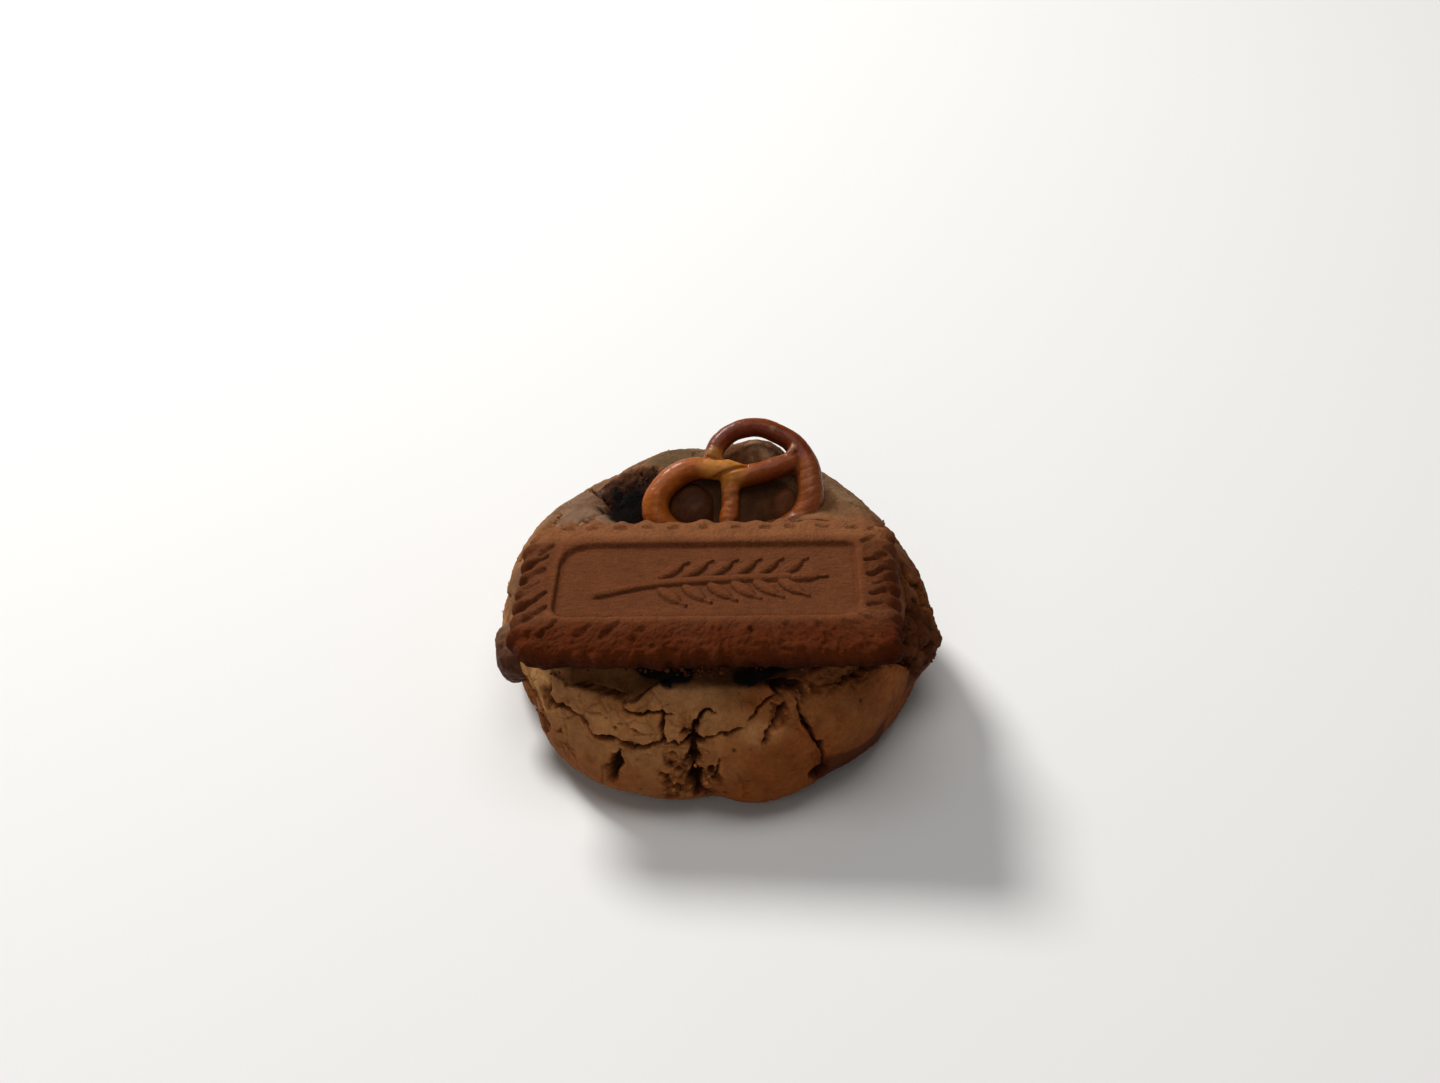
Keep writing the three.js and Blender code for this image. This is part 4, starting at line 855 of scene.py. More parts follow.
# ---- the pretzel -----------------------------------------------------------------------------
A_, S_, T_, R_, O_ = 1.58, 2.2, 1.85, 1.65, 2.2
RODS = [
    ([(-0.9, 9.7, 0.3), (-0.3, 12.0, 0.1), (1.6, 14.15, 0), (4.2, 15.4, 0), (7.0, 15.5, 0), (9.9, 14.5, 0), (12.4, 12.7, 0), (14.3, 9.9, 0), (15.1, 6.4, 0), (15.1, 2.8, -0.1), (13.2, -0.4, -0.7), (8.4, -2.4, -1.8), (2.6, -2.3, -1.7)],
     [A_, A_, A_, A_ * 1.05, S_ * 0.95, S_, S_, O_, R_]),
    ([(4.2, 6.8, 0.9), (0.6, 7.9, 0.9), (-2.4, 8.3, 0.6), (-5.0, 7.9, 0.3), (-7.6, 6.5, 0.1), (-9.6, 4.2, 0), (-10.3, 1.4, -0.1), (-9.0, -1.4, -0.7), (-4.6, -2.9, -1.8), (1.4, -2.5, -1.7)],
     [T_, T_, O_ * 0.95, O_, O_, O_, R_]),
    ([(13.6, 10.3, 0.3), (10.6, 8.7, 0.7), (7.8, 7.7, 0.9), (5.2, 7.0, 0.9), (2.2, 6.4, 0.6)], [T_ * 0.8, T_, T_, T_]),
    ([(2.0, 6.6, 0.4), (2.0, 3.0, 0.1), (1.8, -0.4, -0.6), (1.8, -2.2, -1.5)], [R_ * 1.05, R_ * 0.95, R_]),
]


def catmull(points, n):
    """n + 1 evenly spaced points of a centripetal curve through the given ones."""
    p = np.array(points, float)
    p = np.vstack([2 * p[0] - p[1], p, 2 * p[-1] - p[-2]])
    out = []
    for k in range(1, len(p) - 2):
        a, b, c, d = p[k - 1], p[k], p[k + 1], p[k + 2]
        t0, t1 = 0.0, np.linalg.norm(b - a) ** 0.5
        t2 = t1 + np.linalg.norm(c - b) ** 0.5
        t3 = t2 + np.linalg.norm(d - c) ** 0.5
        t = np.linspace(t1, t2, 40, endpoint=k == len(p) - 3)[:, None]
        A1 = (t1 - t) / (t1 - t0) * a + (t - t0) / (t1 - t0) * b
        A2 = (t2 - t) / (t2 - t1) * b + (t - t1) / (t2 - t1) * c
        A3 = (t3 - t) / (t3 - t2) * c + (t - t2) / (t3 - t2) * d
        B1 = (t2 - t) / (t2 - t0) * A1 + (t - t0) / (t2 - t0) * A2
        B2 = (t3 - t) / (t3 - t1) * A2 + (t - t1) / (t3 - t1) * A3
        out.append((t2 - t) / (t2 - t1) * B1 + (t - t1) / (t2 - t1) * B2)
    q = np.concatenate(out)
    run = np.concatenate([[0], np.cumsum(np.linalg.norm(np.diff(q, axis=0), axis=1))])
    at = np.linspace(0, run[-1], n + 1)
    return np.stack([np.interp(at, run, q[:, k]) for k in range(3)], 1), run[-1]


def tube(line, radius, sides=40):
    """A closed rod with round ends along a line in the pretzel's plane."""
    T = np.gradient(line, axis=0)
    T /= np.linalg.norm(T, axis=1, keepdims=True)
    side = np.cross((0, 0, 1.0), T)
    side /= np.linalg.norm(side, axis=1, keepdims=True)
    lift = np.cross(T, side)
    caps = np.linspace(0, math.pi / 2, 7)[1:]
    rows, rad, sd, lf = [], [], [], []
    for c in caps[::-1]:
        rows.append(line[0] - T[0] * radius[0] * math.sin(c)), rad.append(radius[0] * math.cos(c) + 1e-3), sd.append(side[0]), lf.append(lift[0])
    for k in range(len(line)):
        rows.append(line[k]), rad.append(radius[k]), sd.append(side[k]), lf.append(lift[k])
    for c in caps:
        rows.append(line[-1] + T[-1] * radius[-1] * math.sin(c)), rad.append(radius[-1] * math.cos(c) + 1e-3), sd.append(side[-1]), lf.append(lift[-1])
    rows, rad, sd, lf = np.array(rows), np.array(rad), np.array(sd), np.array(lf)
    a = np.arange(sides) / sides * 2 * math.pi
    P = rows[:, None] + (sd[:, None] * np.cos(a)[None, :, None] + lf[:, None] * np.sin(a)[None, :, None]) * rad[:, None, None]
    m = len(rows)
    i = np.arange(sides)
    j = (i + 1) % sides
    F = []
    for r in range(m - 1):
        F += [np.stack([r * sides + i, r * sides + j, (r + 1) * sides + j], 1), np.stack([r * sides + i, (r + 1) * sides + j, (r + 1) * sides + i], 1)]
    k = np.arange(1, sides - 1)
    F += [np.stack([0 * k, k + 1, k], 1), np.stack([0 * k + (m - 1) * sides, (m - 1) * sides + k, (m - 1) * sides + k + 1], 1)]
    return P.reshape(-1, 3), np.concatenate(F)


def seam(P):
    """The crease between the strands where they cross, 0 to 1, at points of the pretzel's plane."""
    near = np.zeros(len(P))
    for way in (((4.9, 8.2), (3.0, 7.6), (1.0, 6.9), (-0.6, 6.1)), ((-2.6, 10.0), (-0.8, 9.6), (1.0, 9.4))):
        for a, b in zip(way[:-1], way[1:]):
            a, ab = np.array(a), np.subtract(b, a)
            t = np.clip(((P[:, :2] - a) @ ab) / (ab @ ab), 0, 1)
            d = np.hypot(*(P[:, :2] - a - t[:, None] * ab).T)
            near = np.maximum(near, ease(d, 0.55, 0.05))
    return near * ease(P[:, 2], 0.4, 1.4)


def make_pretzel():
    P, F, start = [], [], 0
    lines = []
    for which, (points, radii) in enumerate(RODS):
        line, length = catmull(points, 150)
        u = np.linspace(0, 1, 151)
        radius = np.interp(u * (len(radii) - 1), np.arange(len(radii)), radii)
        radius = radius * (1 + 0.045 * N1(line + which * 9, 4.2) + 0.02 * N5(line + which * 9, 1.9))
        if which == 3:  # the bar is twisted, so it swells and narrows
            radius = radius * (1 + 0.07 * np.sin(u * 2 * math.pi * 1.5 + 0.6))
        line = line + 0.12 * np.stack([N2(line + 5, 5.0), N3(line + 7, 5.0), N4(line, 5.0)], 1)
        lines.append(line)
        p, f = tube(line, radius)
        P.append(p)
        F.append(f + start)
        start += len(p)
    # the loose ends of the strands, pinched on to the arch
    for a, b, r in (((-1.3, 9.0, 0.9), (-1.0, 10.9, 1.3), 1.15), ((11.9, 10.3, 1.3), (12.5, 11.4, 1.5), 0.90)):
        line = np.linspace(a, b, 20)
        p, f = tube(line, np.linspace(r, r * 0.72, 20))
        P.append(p)
        F.append(f + start)
        start += len(p)
    o = add_object("glazed_pretzel", mesh_from("glazed_pretzel", np.concatenate(P), np.concatenate(F)))
    mod = o.modifiers.new("fuse", "REMESH")
    mod.mode = "VOXEL"
    mod.voxel_size = 0.19 * MM
    mod.adaptivity = 0
    mod = o.modifiers.new("melt", "SMOOTH")
    mod.factor, mod.iterations = 0.5, 9
    swap_mesh(o)
    P = points_of(o)
    N = normals_of(o)
    # creases wound round the twisted bar and fine wrinkles of the glaze
    bar = lines[3]
    d = np.sqrt(((P[:, None] - bar[None, ::6]) ** 2).sum(2))
    near = ease(d.min(1), 2.6, 1.9) * ease(P[:, 1], 6.2, 5.0)
    ang = np.arctan2(P[:, 2] - 0.2, P[:, 0] - 2.1)
    twist = np.cos(ang * 1 + P[:, 1] * 1.35 + 0.8)
    high = -0.13 * near * np.clip(twist, 0, 1) ** 3 - 0.05 * near * (0.5 + 0.5 * np.sin(P[:, 1] * 6.0 + 1.2 * N1(P, 1.5)))
    high += 0.08 * N3(P, 3.0) + 0.040 * N6(P, 1.1) + 0.014 * N2(P, 0.45)
    # the strands stay apart in a crease where they cross, and the right rod is finely wrinkled
    fold = seam(P)
    high -= 0.34 * fold
    high -= 0.05 * ease(P[:, 0], 11.5, 13.5) * ease(P[:, 1], 9.5, 7.5) * np.clip(np.sin(P[:, 1] * 3.6 - P[:, 0] * 1.4 + 1.6 * N1(P, 2.2)), 0, 1) ** 2
    P = P + N * high[:, None]
    W = P @ PZ_ROT.T + PZ_AT
    o.data.vertices.foreach_set("co", (W * MM).astype(np.float32).ravel())
    o.data.update()
    thin(o, 100000)
    W = points_of(o)
    P = (W - PZ_AT) @ PZ_ROT
    N = normals_of(o) @ PZ_ROT
    rod = [np.sqrt(((P[:, None] - l[None, ::5]) ** 2).sum(2)).min(1) for l in lines]
    arch = ease(P[:, 1], 8.6, 11.5) * ease(rod[0], 3.2, 2.0)
    amber, brown, dark = (0.310, 0.076, 0.0080), (0.225, 0.0510, 0.0085), (0.100, 0.0125, 0.0012)
    n1, n2 = layered(N1, P, 5.0, 3), layered(N5, P, 1.3, 2)
    left = ease(P[:, 0], 2.5, -5.0)
    c = mix(amber, brown, np.clip(0.48 - 0.40 * left + 0.75 * n1 + 0.25 * n2, 0, 1))
    c = mix(c, (0.165, 0.0290, 0.0030), ease(rod[2], 2.8, 2.0) * ease(P[:, 0], 3.5, 7.0) * 0.65)
    c = mix(c, (0.215, 0.0590, 0.0190), ease(P[:, 0], 10.5, 13.5) * 0.65)
    # the arch is dark red brown, less dark on its upper side: a painted highlight there
    c = mix(c, (0.110, 0.0120, 0.0012), arch * (0.86 - 0.40 * ease(N[:, 1], 0.1, 0.9)))
    c = mix(c, dark, ease(N[:, 2], 0.1, -0.9) * 0.6)
    # redder and darker on the sides that face down, towards the inner side of each loop: painted shade
    cross_way = ease(np.hypot(P[:, 0] - 0.6, P[:, 1] - 7.4), 4.2, 1.6)
    c = mix(c, c * (0.60, 0.44, 0.36), ease(N[:, 1] + 0.35 * n1, -0.15, -0.95) * 0.75 * (1 - cross_way))
    # painted shade in the crease where the strands cross
    c = mix(c, c * (0.42, 0.28, 0.22), seam(P) * 0.8)
    # pale dough where the strands' ends broke off and along stretched inner bends
    for x, y, z, reach, amount in ((-1.0, 10.9, 2.1, 1.25, 0.80), (0.6, 9.3, 2.5, 0.9, 0.55), (12.4, 11.5, 2.2, 0.9, 0.65), (9.0, 14.9, 1.5, 0.55, 0.4)):
        d = np.sqrt(((P - (x, y, z)) ** 2).sum(1)) + 0.55 * n2 + 0.3 * N4(P, 0.6)
        c = mix(c, (0.36, 0.185, 0.085), ease(d, reach, reach * 0.35) * amount)
    crease = near_crease = ease(rod[3], 2.5, 1.9) * ease(P[:, 1], 6.0, 5.0)
    ang = np.arctan2(P[:, 2] - 0.2, P[:, 0] - 2.1)
    # painted shade in the grooves wound round the twisted bar
    c = mix(c, dark, crease * np.clip(np.cos(ang + P[:, 1] * 1.35 + 0.8), 0, 1) ** 4 * 0.5)
    cross = ease(np.hypot(P[:, 0] - 0.6, P[:, 1] - 7.6), 5.0, 2.0) * ease(N[:, 2], -0.1, 0.6)
    c = mix(c, (0.50, 0.190, 0.0260), cross * 0.85 * (1 - 0.7 * seam(P)))
    # a pale streak down the front of the bar: painted highlight
    c = mix(c, (0.36, 0.115, 0.0420), crease * ease(N[:, 2], 0.5, 0.95) * 0.5)
    c = c * (1 + 0.12 * n2)[:, None]
    paint(o, tone=c)
    smooth(o)
    return o


# ---- the chocolate ---------------------------------------------------------------------------
def make_chunk(name, half, at, lean, turn, milk, number):
    D, F = geodesic(34)
    bump = 1 + 0.05 * np.sin(3.1 * D[:, 0] + 1.3 * at[0]) + 0.05 * np.cos(2.7 * D[:, 1] + 2.1 * D[:, 2] + at[1])
    if name == "milk_chunk_left":
        # a blunt block with worn corners
        D2 = D @ turned(24, "X") @ turned(-18, "Y")
        P = (D / (np.abs(D2) ** 2.6).sum(1)[:, None] ** (1 / 2.6)) * np.array(half) * 0.93 * bump[:, None]
    else:
        P = D * np.array(half) * bump[:, None]
    seed = P + 17.0 * number
    high = 0.24 * N1(seed, 3.4) + 0.10 * N5(seed, 1.5) + 0.03 * N3(seed, 0.6)
    if not milk:
        # broken and half melted: some flats with soft ridges between them
        c1, c2, _ = cells(seed, 3.0, 60 + number)
        high = high + 0.42 * (0.9 - c1) * 0.55 + 0.10 * ease((c2 - c1), 0.5, 0.0)
    if name == "milk_chunk_left":
        high = high + 0.16 * N6(seed, 1.1) + 0.08 * N4(seed, 0.6)
    P = P + D * high[:, None]
    W = P @ (turned(turn, "Z") @ turned(lean, "X")).T + at
    if "front" in name:
        # held down by the biscuit, just clear of its underside
        L = (W - B_AT) @ B_ROT
        L[:, 2] = np.minimum(L[:, 2], -0.02)
        W = L @ B_ROT.T + B_AT
    o = add_object(name.replace("_chunk", "_chocolate"), mesh_from(name, W, F))
    n1, n2 = layered(N2, seed, 3.0, 3), N6(seed, 0.8)
    if milk:
        c = mix((0.072, 0.0215, 0.0068), (0.044, 0.0125, 0.0040), np.clip(0.5 + 0.8 * n1, 0, 1))
        if name == "milk_chunk_back":
            c = c * 1.7
        if name == "milk_chunk_left":
            # lighter towards its top left: partly crust colour on its top, partly painted light from that side
            c = mix(c, (0.150, 0.067, 0.0290), ease(W[:, 2] - 0.25 * W[:, 0] + 1.8 * n1, 24.2, 26.6) * 0.8)
            spots, _, mark = cells(W, 1.7, 88)
            c = mix(c, (0.030, 0.0085, 0.0028), ease(spots, 0.55, 0.25) * (mark > 0.7) * 0.7)
        c = mix(c, c * 0.72, ease(n2, 0.25, 0.6) * 0.35)
    else:
        c = mix((0.0028, 0.0016, 0.0010), (0.0075, 0.0034, 0.0020), np.clip(0.2 + 0.9 * n1, 0, 1))
    paint(o, tone=c)
    smooth(o)
    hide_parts(name)
    return o


# ---- loose crumbs ----------------------------------------------------------------------------
def grains_mesh(name, centres, sizes, colours, rng, detail=2):
    """Joined irregular grains of true size."""
    D, F = geodesic(detail)
    n, v = len(centres), len(D)
    Q = rng.normal(size=(n, 4))
    Q /= np.linalg.norm(Q, axis=1, keepdims=True)
    w, x, y, z = Q.T
    R = np.stack([1 - 2 * (y * y + z * z), 2 * (x * y - z * w), 2 * (x * z + y * w), 2 * (x * y + z * w), 1 - 2 * (x * x + z * z), 2 * (y * z - x * w), 2 * (x * z - y * w), 2 * (y * z + x * w), 1 - 2 * (x * x + y * y)], 1).reshape(n, 3, 3)
    stretch = rng.uniform(0.62, 1.15, (n, 1, 3))
    bumps = rng.normal(1.0, 0.15, (n, v, 1))
    P = D[None] * stretch * bumps * sizes[:, None, None]
    P = np.einsum("nij,nvj->nvi", R, P) + centres[:, None]
    T = (F[None] + (np.arange(n) * v)[:, None, None]).reshape(-1, 3)
    o = add_object(name, mesh_from(name, P.reshape(-1, 3), T))
    c = np.repeat(colours, v, 0) * rng.uniform(0.86, 1.14, (n * v, 1))
    paint(o, tone=c, wet=np.zeros(n * v), open_crumb=np.ones(n * v))
    smooth(o)
    return o


def make_crumbs(dough_o, f):
    rng = np.random.default_rng(501)
    P, N = f["P"], normals_of(dough_o)
    seen = (~f["under"]) & (P[:, 2] > 0.6)
    open_ = np.where((f["crumb"] > 0.55) & seen & (f["choc"] < 0.02) & (f["strip"] < 0.1))[0]
    count = 1100
    pick = rng.choice(open_, min(count, len(open_)), replace=False)
    size = rng.uniform(0.13, 0.36, len(pick)) * rng.uniform(0.7, 1.1, len(pick))
    # the crumbs take the dough's colour under them, painted shade and light included
    colour = np.clip(f["tone"][pick], 0.012, 1) * rng.uniform(0.9, 1.5, (len(pick), 1))
    centres = P[pick] + N[pick] * (size * 0.25)[:, None]
    # a few lie loose on the crust
    crust = np.where((f["crumb"] < 0.1) & (f["pillow"] > 0.45) & seen & (N[:, 2] > 0.30) & (f["choc"] < 0.1))[0]
    loose = rng.choice(crust, 110, replace=False)
    s2 = rng.uniform(0.08, 0.20, len(loose))
    c2 = f["tone"][loose] * rng.uniform(0.85, 1.25, (len(loose), 1))
    centres = np.vstack([centres, P[loose] + N[loose] * (s2 * 0.7)[:, None]])
    o = grains_mesh("dough_crumbs", centres, np.concatenate([size, s2]), np.vstack([colour, c2]), rng)
    # biscuit crumbs along its front edge
    n = 130
    x = np.where(rng.uniform(size=n) < 0.6, rng.normal(-0.5, 2.8, n), rng.uniform(-26, 26, n))
    y = -B_B + rng.uniform(-0.2, 1.6, n)
    z = rng.uniform(-0.35, 0.9, n)
    L = np.stack([x, y, z], 1)
    s3 = rng.uniform(0.12, 0.34, n)
    c3 = mix((0.045, 0.0100, 0.0026), (0.095, 0.0260, 0.0075), rng.uniform(0, 1, n))
    o2 = grains_mesh("biscuit_crumbs", L @ B_ROT.T + B_AT, s3, c3, rng)
    return [o, o2]


# ---- materials -------------------------------------------------------------------------------
class Nodes:
    def __init__(self, name):
        self.m = bpy.data.materials.new(name)
        self.m.use_nodes = True
        self.t = self.m.node_tree
        self.p = self.t.nodes["Principled BSDF"]

    def add(self, kind, **values):
        n = self.t.nodes.new(kind)
        for k, v in values.items():
            if hasattr(n, k):
                setattr(n, k, v)
            else:
                n.inputs[k.replace("_", " ")].default_value = v
        return n

    def link(self, a, b):
        self.t.links.new(a, b)

    def attribute(self, name, out="Fac"):
        return self.add("ShaderNodeAttribute", attribute_name=name).outputs[out]

    def coords(self):
        return self.add("ShaderNodeTexCoord").outputs["Object"]

    def stretched(self, source, x, y, z):
        n = self.add("ShaderNodeMapping")
        n.inputs["Scale"].default_value = (x, y, z)
        self.link(source, n.inputs["Vector"])
        return n.outputs["Vector"]

    def noise(self, source, scale, detail=3.0, rough=0.55, kind=None):
        n = self.add("ShaderNodeTexNoise")
        n.inputs["Scale"].default_value = scale
        n.inputs["Detail"].default_value = detail
        n.inputs["Roughness"].default_value = rough
        self.link(source, n.inputs["Vector"])
        return n.outputs["Fac"]

    def voronoi(self, source, scale, feature="F1"):
        n = self.add("ShaderNodeTexVoronoi", feature=feature)
        n.inputs["Scale"].default_value = scale
        self.link(source, n.inputs["Vector"])
        return n.outputs["Distance"]

    def ranged(self, source, a, b, lo, hi):
        n = self.add("ShaderNodeMapRange")
        n.clamp = True
        for k, v in (("From Min", a), ("From Max", b), ("To Min", lo), ("To Max", hi)):
            n.inputs[k].default_value = v
        self.link(source, n.inputs["Value"])
        return n.outputs["Result"]

    def math(self, op, a, b):
        n = self.add("ShaderNodeMath", operation=op)
        for k, v in enumerate((a, b)):
            if isinstance(v, (int, float)):
                n.inputs[k].default_value = v
            else:
                self.link(v, n.inputs[k])
        return n.outputs[0]

    def scaled(self, colour, factor):
        """A colour times a number that varies over the surface."""
        n = self.add("ShaderNodeVectorMath", operation="SCALE")
        self.link(colour, n.inputs[0])
        self.link(factor, n.inputs["Scale"])
        return n.outputs[0]

    def blend(self, fac, a, b):
        n = self.add("ShaderNodeMix", data_type="RGBA")
        self.link(fac, n.inputs[0])
        for k, v in ((6, a), (7, b)):
            if isinstance(v, tuple):
                n.inputs[k].default_value = (*v, 1)
            else:
                self.link(v, n.inputs[k])
        return n.outputs[2]

    def bump(self, height, distance, strength, before=None):
        n = self.add("ShaderNodeBump")
        n.inputs["Distance"].default_value = distance
        if isinstance(strength, (int, float)):
            n.inputs["Strength"].default_value = strength
        else:
            self.link(strength, n.inputs["Strength"])
        self.link(height, n.inputs["Height"])
        if before is not None:
            self.link(before, n.inputs["Normal"])
        return n.outputs["Normal"]


def crust_material():
    s = Nodes("baked_crust")
    at = s.coords()
    tone, wet, crumb = s.attribute("tone", "Color"), s.attribute("wet"), s.attribute("open_crumb")
    blotch = s.noise(at, 420, 4, 0.6)
    speck = s.noise(at, 2600, 3, 0.65)
    colour = s.scaled(tone, s.ranged(blotch, 0.3, 0.7, 0.86, 1.13))
    colour = s.scaled(colour, s.ranged(speck, 0.3, 0.7, 0.88, 1.11))
    # dark flecks of spice and sugar caramelised in the crust
    fleck = s.ranged(s.voronoi(at, 1150), 0.05, 0.16, 1.0, 0.0)
    gate = s.ranged(s.noise(at, 650, 2, 0.5), 0.52, 0.62, 0.0, 0.55)
    colour = s.blend(s.math("MULTIPLY", fleck, gate), colour, (0.070, 0.021, 0.0070))
    s.link(colour, s.p.inputs["Base Color"])
    dry = s.ranged(s.noise(at, 700, 3, 0.6), 0.3, 0.7, 0.70, 0.90)
    s.link(s.math("ADD", s.math("MULTIPLY", dry, s.math("SUBTRACT", 1.0, wet)), s.math("MULTIPLY", wet, 0.80)), s.p.inputs["Roughness"])
    s.p.inputs["Specular IOR Level"].default_value = 0.06
    fine = s.noise(at, 3000, 4, 0.65)
    wide = s.noise(at, 900, 3, 0.6)
    dry_only = s.math("SUBTRACT", 1.0, s.math("MULTIPLY", wet, 0.9))
    n = s.bump(wide, 0.00046, s.math("MULTIPLY", 0.52, dry_only))
    n = s.bump(fine, 0.00024, s.math("MULTIPLY", 0.85, dry_only), n)
    n = s.bump(s.noise(at, 1700, 5, 0.7), 0.0005, s.math("MULTIPLY", crumb, 0.85), n)
    s.link(n, s.p.inputs["Normal"])
    return s.m


def biscuit_material():
    s = Nodes("spiced_biscuit")
    at = s.attribute("place", "Vector")
    tone, panel = s.attribute("tone", "Color"), s.attribute("panel")
    grain = s.noise(s.stretched(at, 420, 3300, 3300), 1.0, 3, 0.6)
    speck = s.noise(at, 2900, 4, 0.7)
    blotch = s.noise(at, 330, 4, 0.6)
    colour = s.scaled(tone, s.ranged(blotch, 0.3, 0.7, 0.90, 1.10))
    colour = s.scaled(colour, s.ranged(speck, 0.3, 0.7, 0.76, 1.22))
    lines = s.ranged(grain, 0.34, 0.66, 0.87, 1.12)
    even = s.math("ADD", s.math("MULTIPLY", lines, panel), s.math("SUBTRACT", 1.0, panel))
    colour = s.scaled(colour, even)
    pit = s.ranged(s.voronoi(at, 1500), 0.04, 0.18, 1.0, 0.0)
    gate = s.ranged(s.noise(at, 900, 2, 0.5), 0.50, 0.60, 0.0, 0.6)
    pits = s.math("MULTIPLY", pit, gate)
    colour = s.blend(pits, colour, (0.036, 0.0085, 0.0026))
    s.link(colour, s.p.inputs["Base Color"])
    s.link(s.ranged(speck, 0.3, 0.7, 0.68, 0.88), s.p.inputs["Roughness"])
    s.p.inputs["Specular IOR Level"].default_value = 0.04
    n = s.bump(grain, 0.00016, s.math("MULTIPLY", panel, 0.8))
    n = s.bump(speck, 0.00030, 0.9, n)
    n = s.bump(s.noise(at, 1300, 4, 0.7), 0.0004, s.math("SUBTRACT", 0.75, s.math("MULTIPLY", panel, 0.35)), n)
    n = s.bump(s.math("SUBTRACT", 1.0, pits), 0.00025, 0.7, n)
    s.link(n, s.p.inputs["Normal"])
    return s.m


def pretzel_material():
    s = Nodes("baked_glaze")
    at = s.coords()
    tone = s.attribute("tone", "Color")
    mottle = s.noise(at, 900, 4, 0.6)
    speck = s.noise(at, 3600, 2, 0.5)
    colour = s.scaled(tone, s.ranged(mottle, 0.3, 0.7, 0.82, 1.18))
    colour = s.blend(s.ranged(speck, 0.60, 0.72, 0.0, 0.35), colour, (0.045, 0.010, 0.003))
    s.link(colour, s.p.inputs["Base Color"])
    s.link(s.ranged(s.noise(at, 1200, 3, 0.6), 0.3, 0.7, 0.30, 0.52), s.p.inputs["Roughness"])
    s.p.inputs["Specular IOR Level"].default_value = 0.22
    s.p.inputs["IOR"].default_value = 1.3
    s.p.inputs["Coat Weight"].default_value = 0.17
    s.p.inputs["Coat Roughness"].default_value = 0.24
    n = s.bump(s.noise(at, 1500, 4, 0.6), 0.00026, 0.5)
    n = s.bump(s.voronoi(at, 2100, "DISTANCE_TO_EDGE"), 0.00004, 0.25, n)
    s.link(n, s.p.inputs["Normal"])
    return s.m


def chocolate_material(name, rough, coat, spec):
    s = Nodes(name)
    at = s.coords()
    tone = s.attribute("tone", "Color")
    colour = s.scaled(tone, s.ranged(s.noise(at, 700, 4, 0.6), 0.3, 0.7, 0.82, 1.20))
    s.link(colour, s.p.inputs["Base Color"])
    s.link(s.ranged(s.noise(at, 1300, 4, 0.65), 0.3, 0.7, rough - 0.08, rough + 0.12), s.p.inputs["Roughness"])
    s.p.inputs["Specular IOR Level"].default_value = spec
    s.p.inputs["Coat Weight"].default_value = coat
    s.p.inputs["Coat Roughness"].default_value = 0.18
    n = s.bump(s.noise(at, 1100, 4, 0.6), 0.00022, 0.4)
    n = s.bump(s.noise(at, 4200, 2, 0.5), 0.00006, 0.4, n)
    s.link(n, s.p.inputs["Normal"])
    return s.m


def floor_material():
    s = Nodes("pale_floor")
    at = s.coords()
    s.link(s.blend(s.noise(at, 6, 3, 0.5), (0.80, 0.80, 0.79), (0.78, 0.78, 0.775)), s.p.inputs["Base Color"])
    s.p.inputs["Roughness"].default_value = 0.9
    s.p.inputs["Specular IOR Level"].default_value = 0.15
    return s.m


# ---- assembly --------------------------------------------------------------------------------
def keep(o, material):
    o.data.materials.clear()
    o.data.materials.append(material)
    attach(o, "root")
    return o


CRUST, BISCUIT, GLAZE = crust_material(), biscuit_material(), pretzel_material()
MILK, DARK = chocolate_material("milk_chocolate", 0.62, 0.0, 0.12), chocolate_material("dark_chocolate", 0.82, 0.0, 0.03)

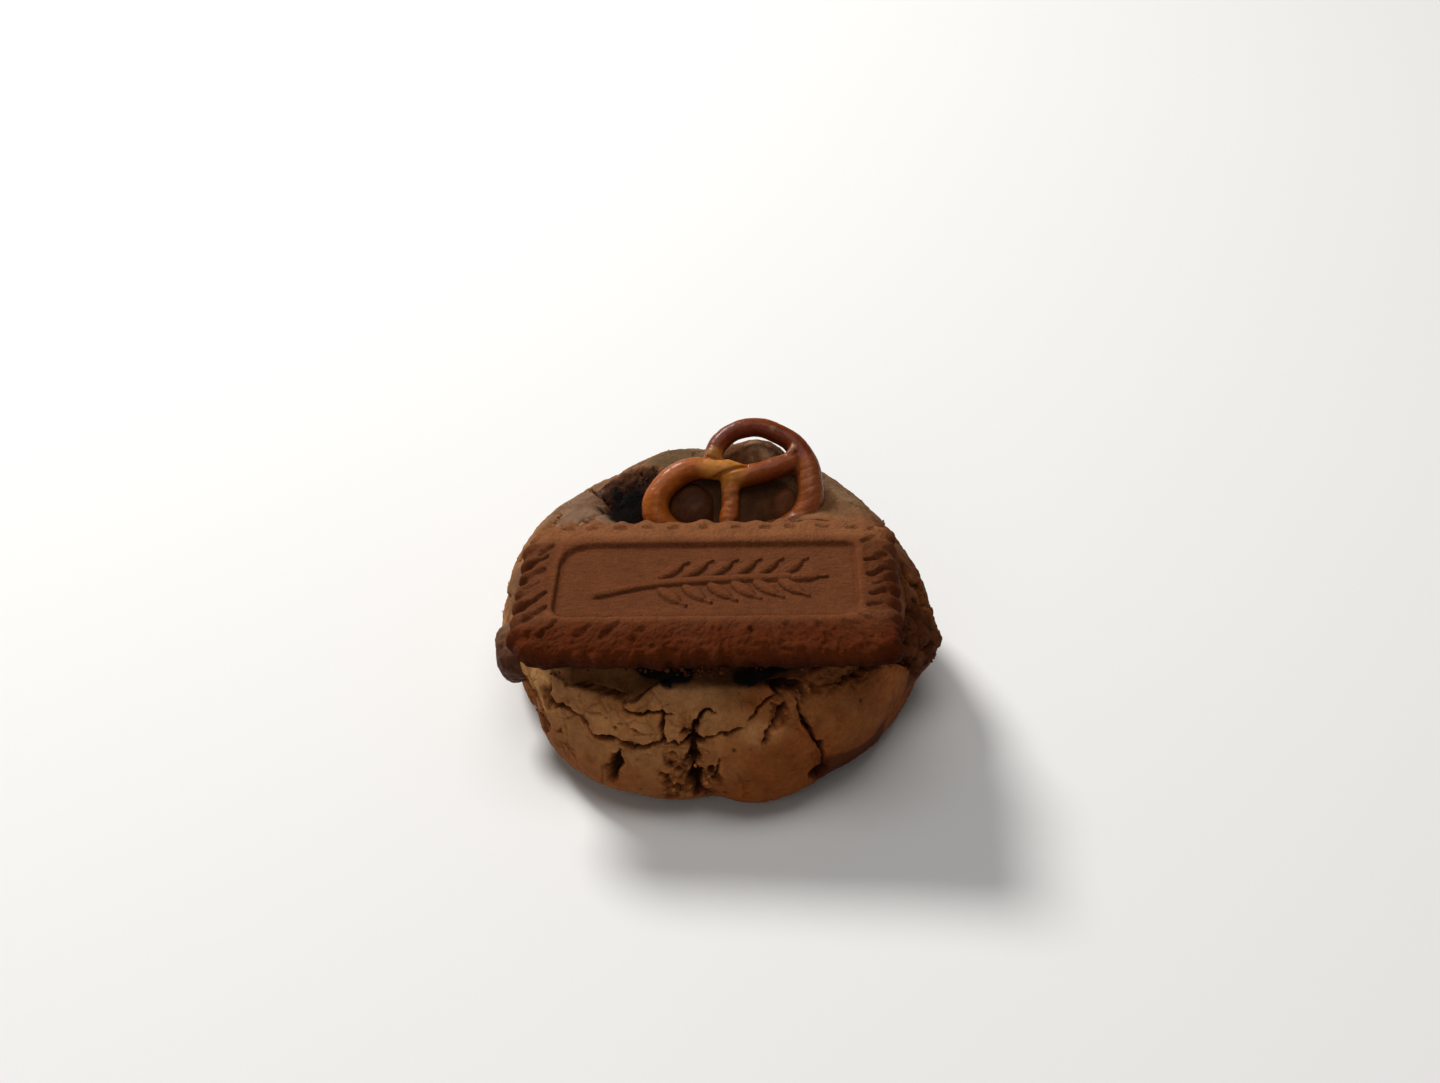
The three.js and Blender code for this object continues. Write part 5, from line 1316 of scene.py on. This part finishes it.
body, fields = make_dough()
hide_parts("cookie_dough")
keep(body, CRUST)
biscuit = make_biscuit()
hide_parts("spiced_biscuit")
keep(biscuit, BISCUIT)
pretzel = make_pretzel()
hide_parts("pretzel")
keep(pretzel, GLAZE)
for number, (name, half, at, lean, turn, milk) in enumerate(CHUNKS):
    keep(make_chunk(name, half, np.array(at), lean, turn, milk, number), MILK if milk else DARK)
crumbs, flakes = make_crumbs(body, fields)
keep(crumbs, CRUST)
flakes.data.attributes.new("panel", "FLOAT", "POINT")
pts = points_of(flakes) * MM
paint(flakes, place=pts)
keep(flakes, BISCUIT)

# floor, light and camera
S = 3.0
floor = add_object("floor", mesh_from("floor", np.array([(-S, -S, 0), (S, -S, 0), (S, S, 0), (-S, S, 0)]) * 1000 - (0, 0, 0.02), [(0, 1, 2), (0, 2, 3)]))
floor.data.materials.append(floor_material())


def lamp(name, at, aim, size, power, colour=(1, 1, 1)):
    light = bpy.data.lights.new(name, "AREA")
    light.shape, light.size, light.energy, light.color = "DISK", size, power, colour
    o = bpy.data.objects.new(name, light)
    o.location = at
    o.rotation_euler = (Vector(aim) - Vector(at)).to_track_quat("-Z", "Y").to_euler()
    bpy.context.scene.collection.objects.link(o)


lamp("key", (-0.46, 0.56, 0.74), (0, 0, 0.02), 0.30, 10.5, (1.0, 0.985, 0.965))
lamp("overhead", (0.0, -0.12, 1.15), (0, 0, 0.02), 0.9, 4.4, (1.0, 0.985, 0.965))
lamp("fill", (-0.25, -0.90, 0.60), (0, 0, 0.02), 0.6, 1.3, (1.0, 0.95, 0.88))
world = bpy.data.worlds.new("studio")
world.use_nodes = True
world.node_tree.nodes["Background"].inputs["Color"].default_value = (1.0, 1.0, 1.0, 1)
world.node_tree.nodes["Background"].inputs["Strength"].default_value = 0.10
bpy.context.scene.world = world
bpy.context.scene.view_settings.view_transform = "Standard"
bpy.context.scene.view_settings.look = "None"

camera = bpy.data.cameras.new("camera")
camera.sensor_width, camera.lens = 36.0, 60.0
camera.clip_start, camera.clip_end = 0.01, 20
cam = bpy.data.objects.new("camera", camera)
e = math.radians(35)
cam.location = (0.0005, -0.31958, 0.25297)
cam.rotation_mode = "QUATERNION"
cam.rotation_quaternion = Matrix(((1, 0, 0), (0, math.sin(e), -math.cos(e)), (0, math.cos(e), math.sin(e)))).to_quaternion()
bpy.context.scene.collection.objects.link(cam)
bpy.context.scene.camera = cam
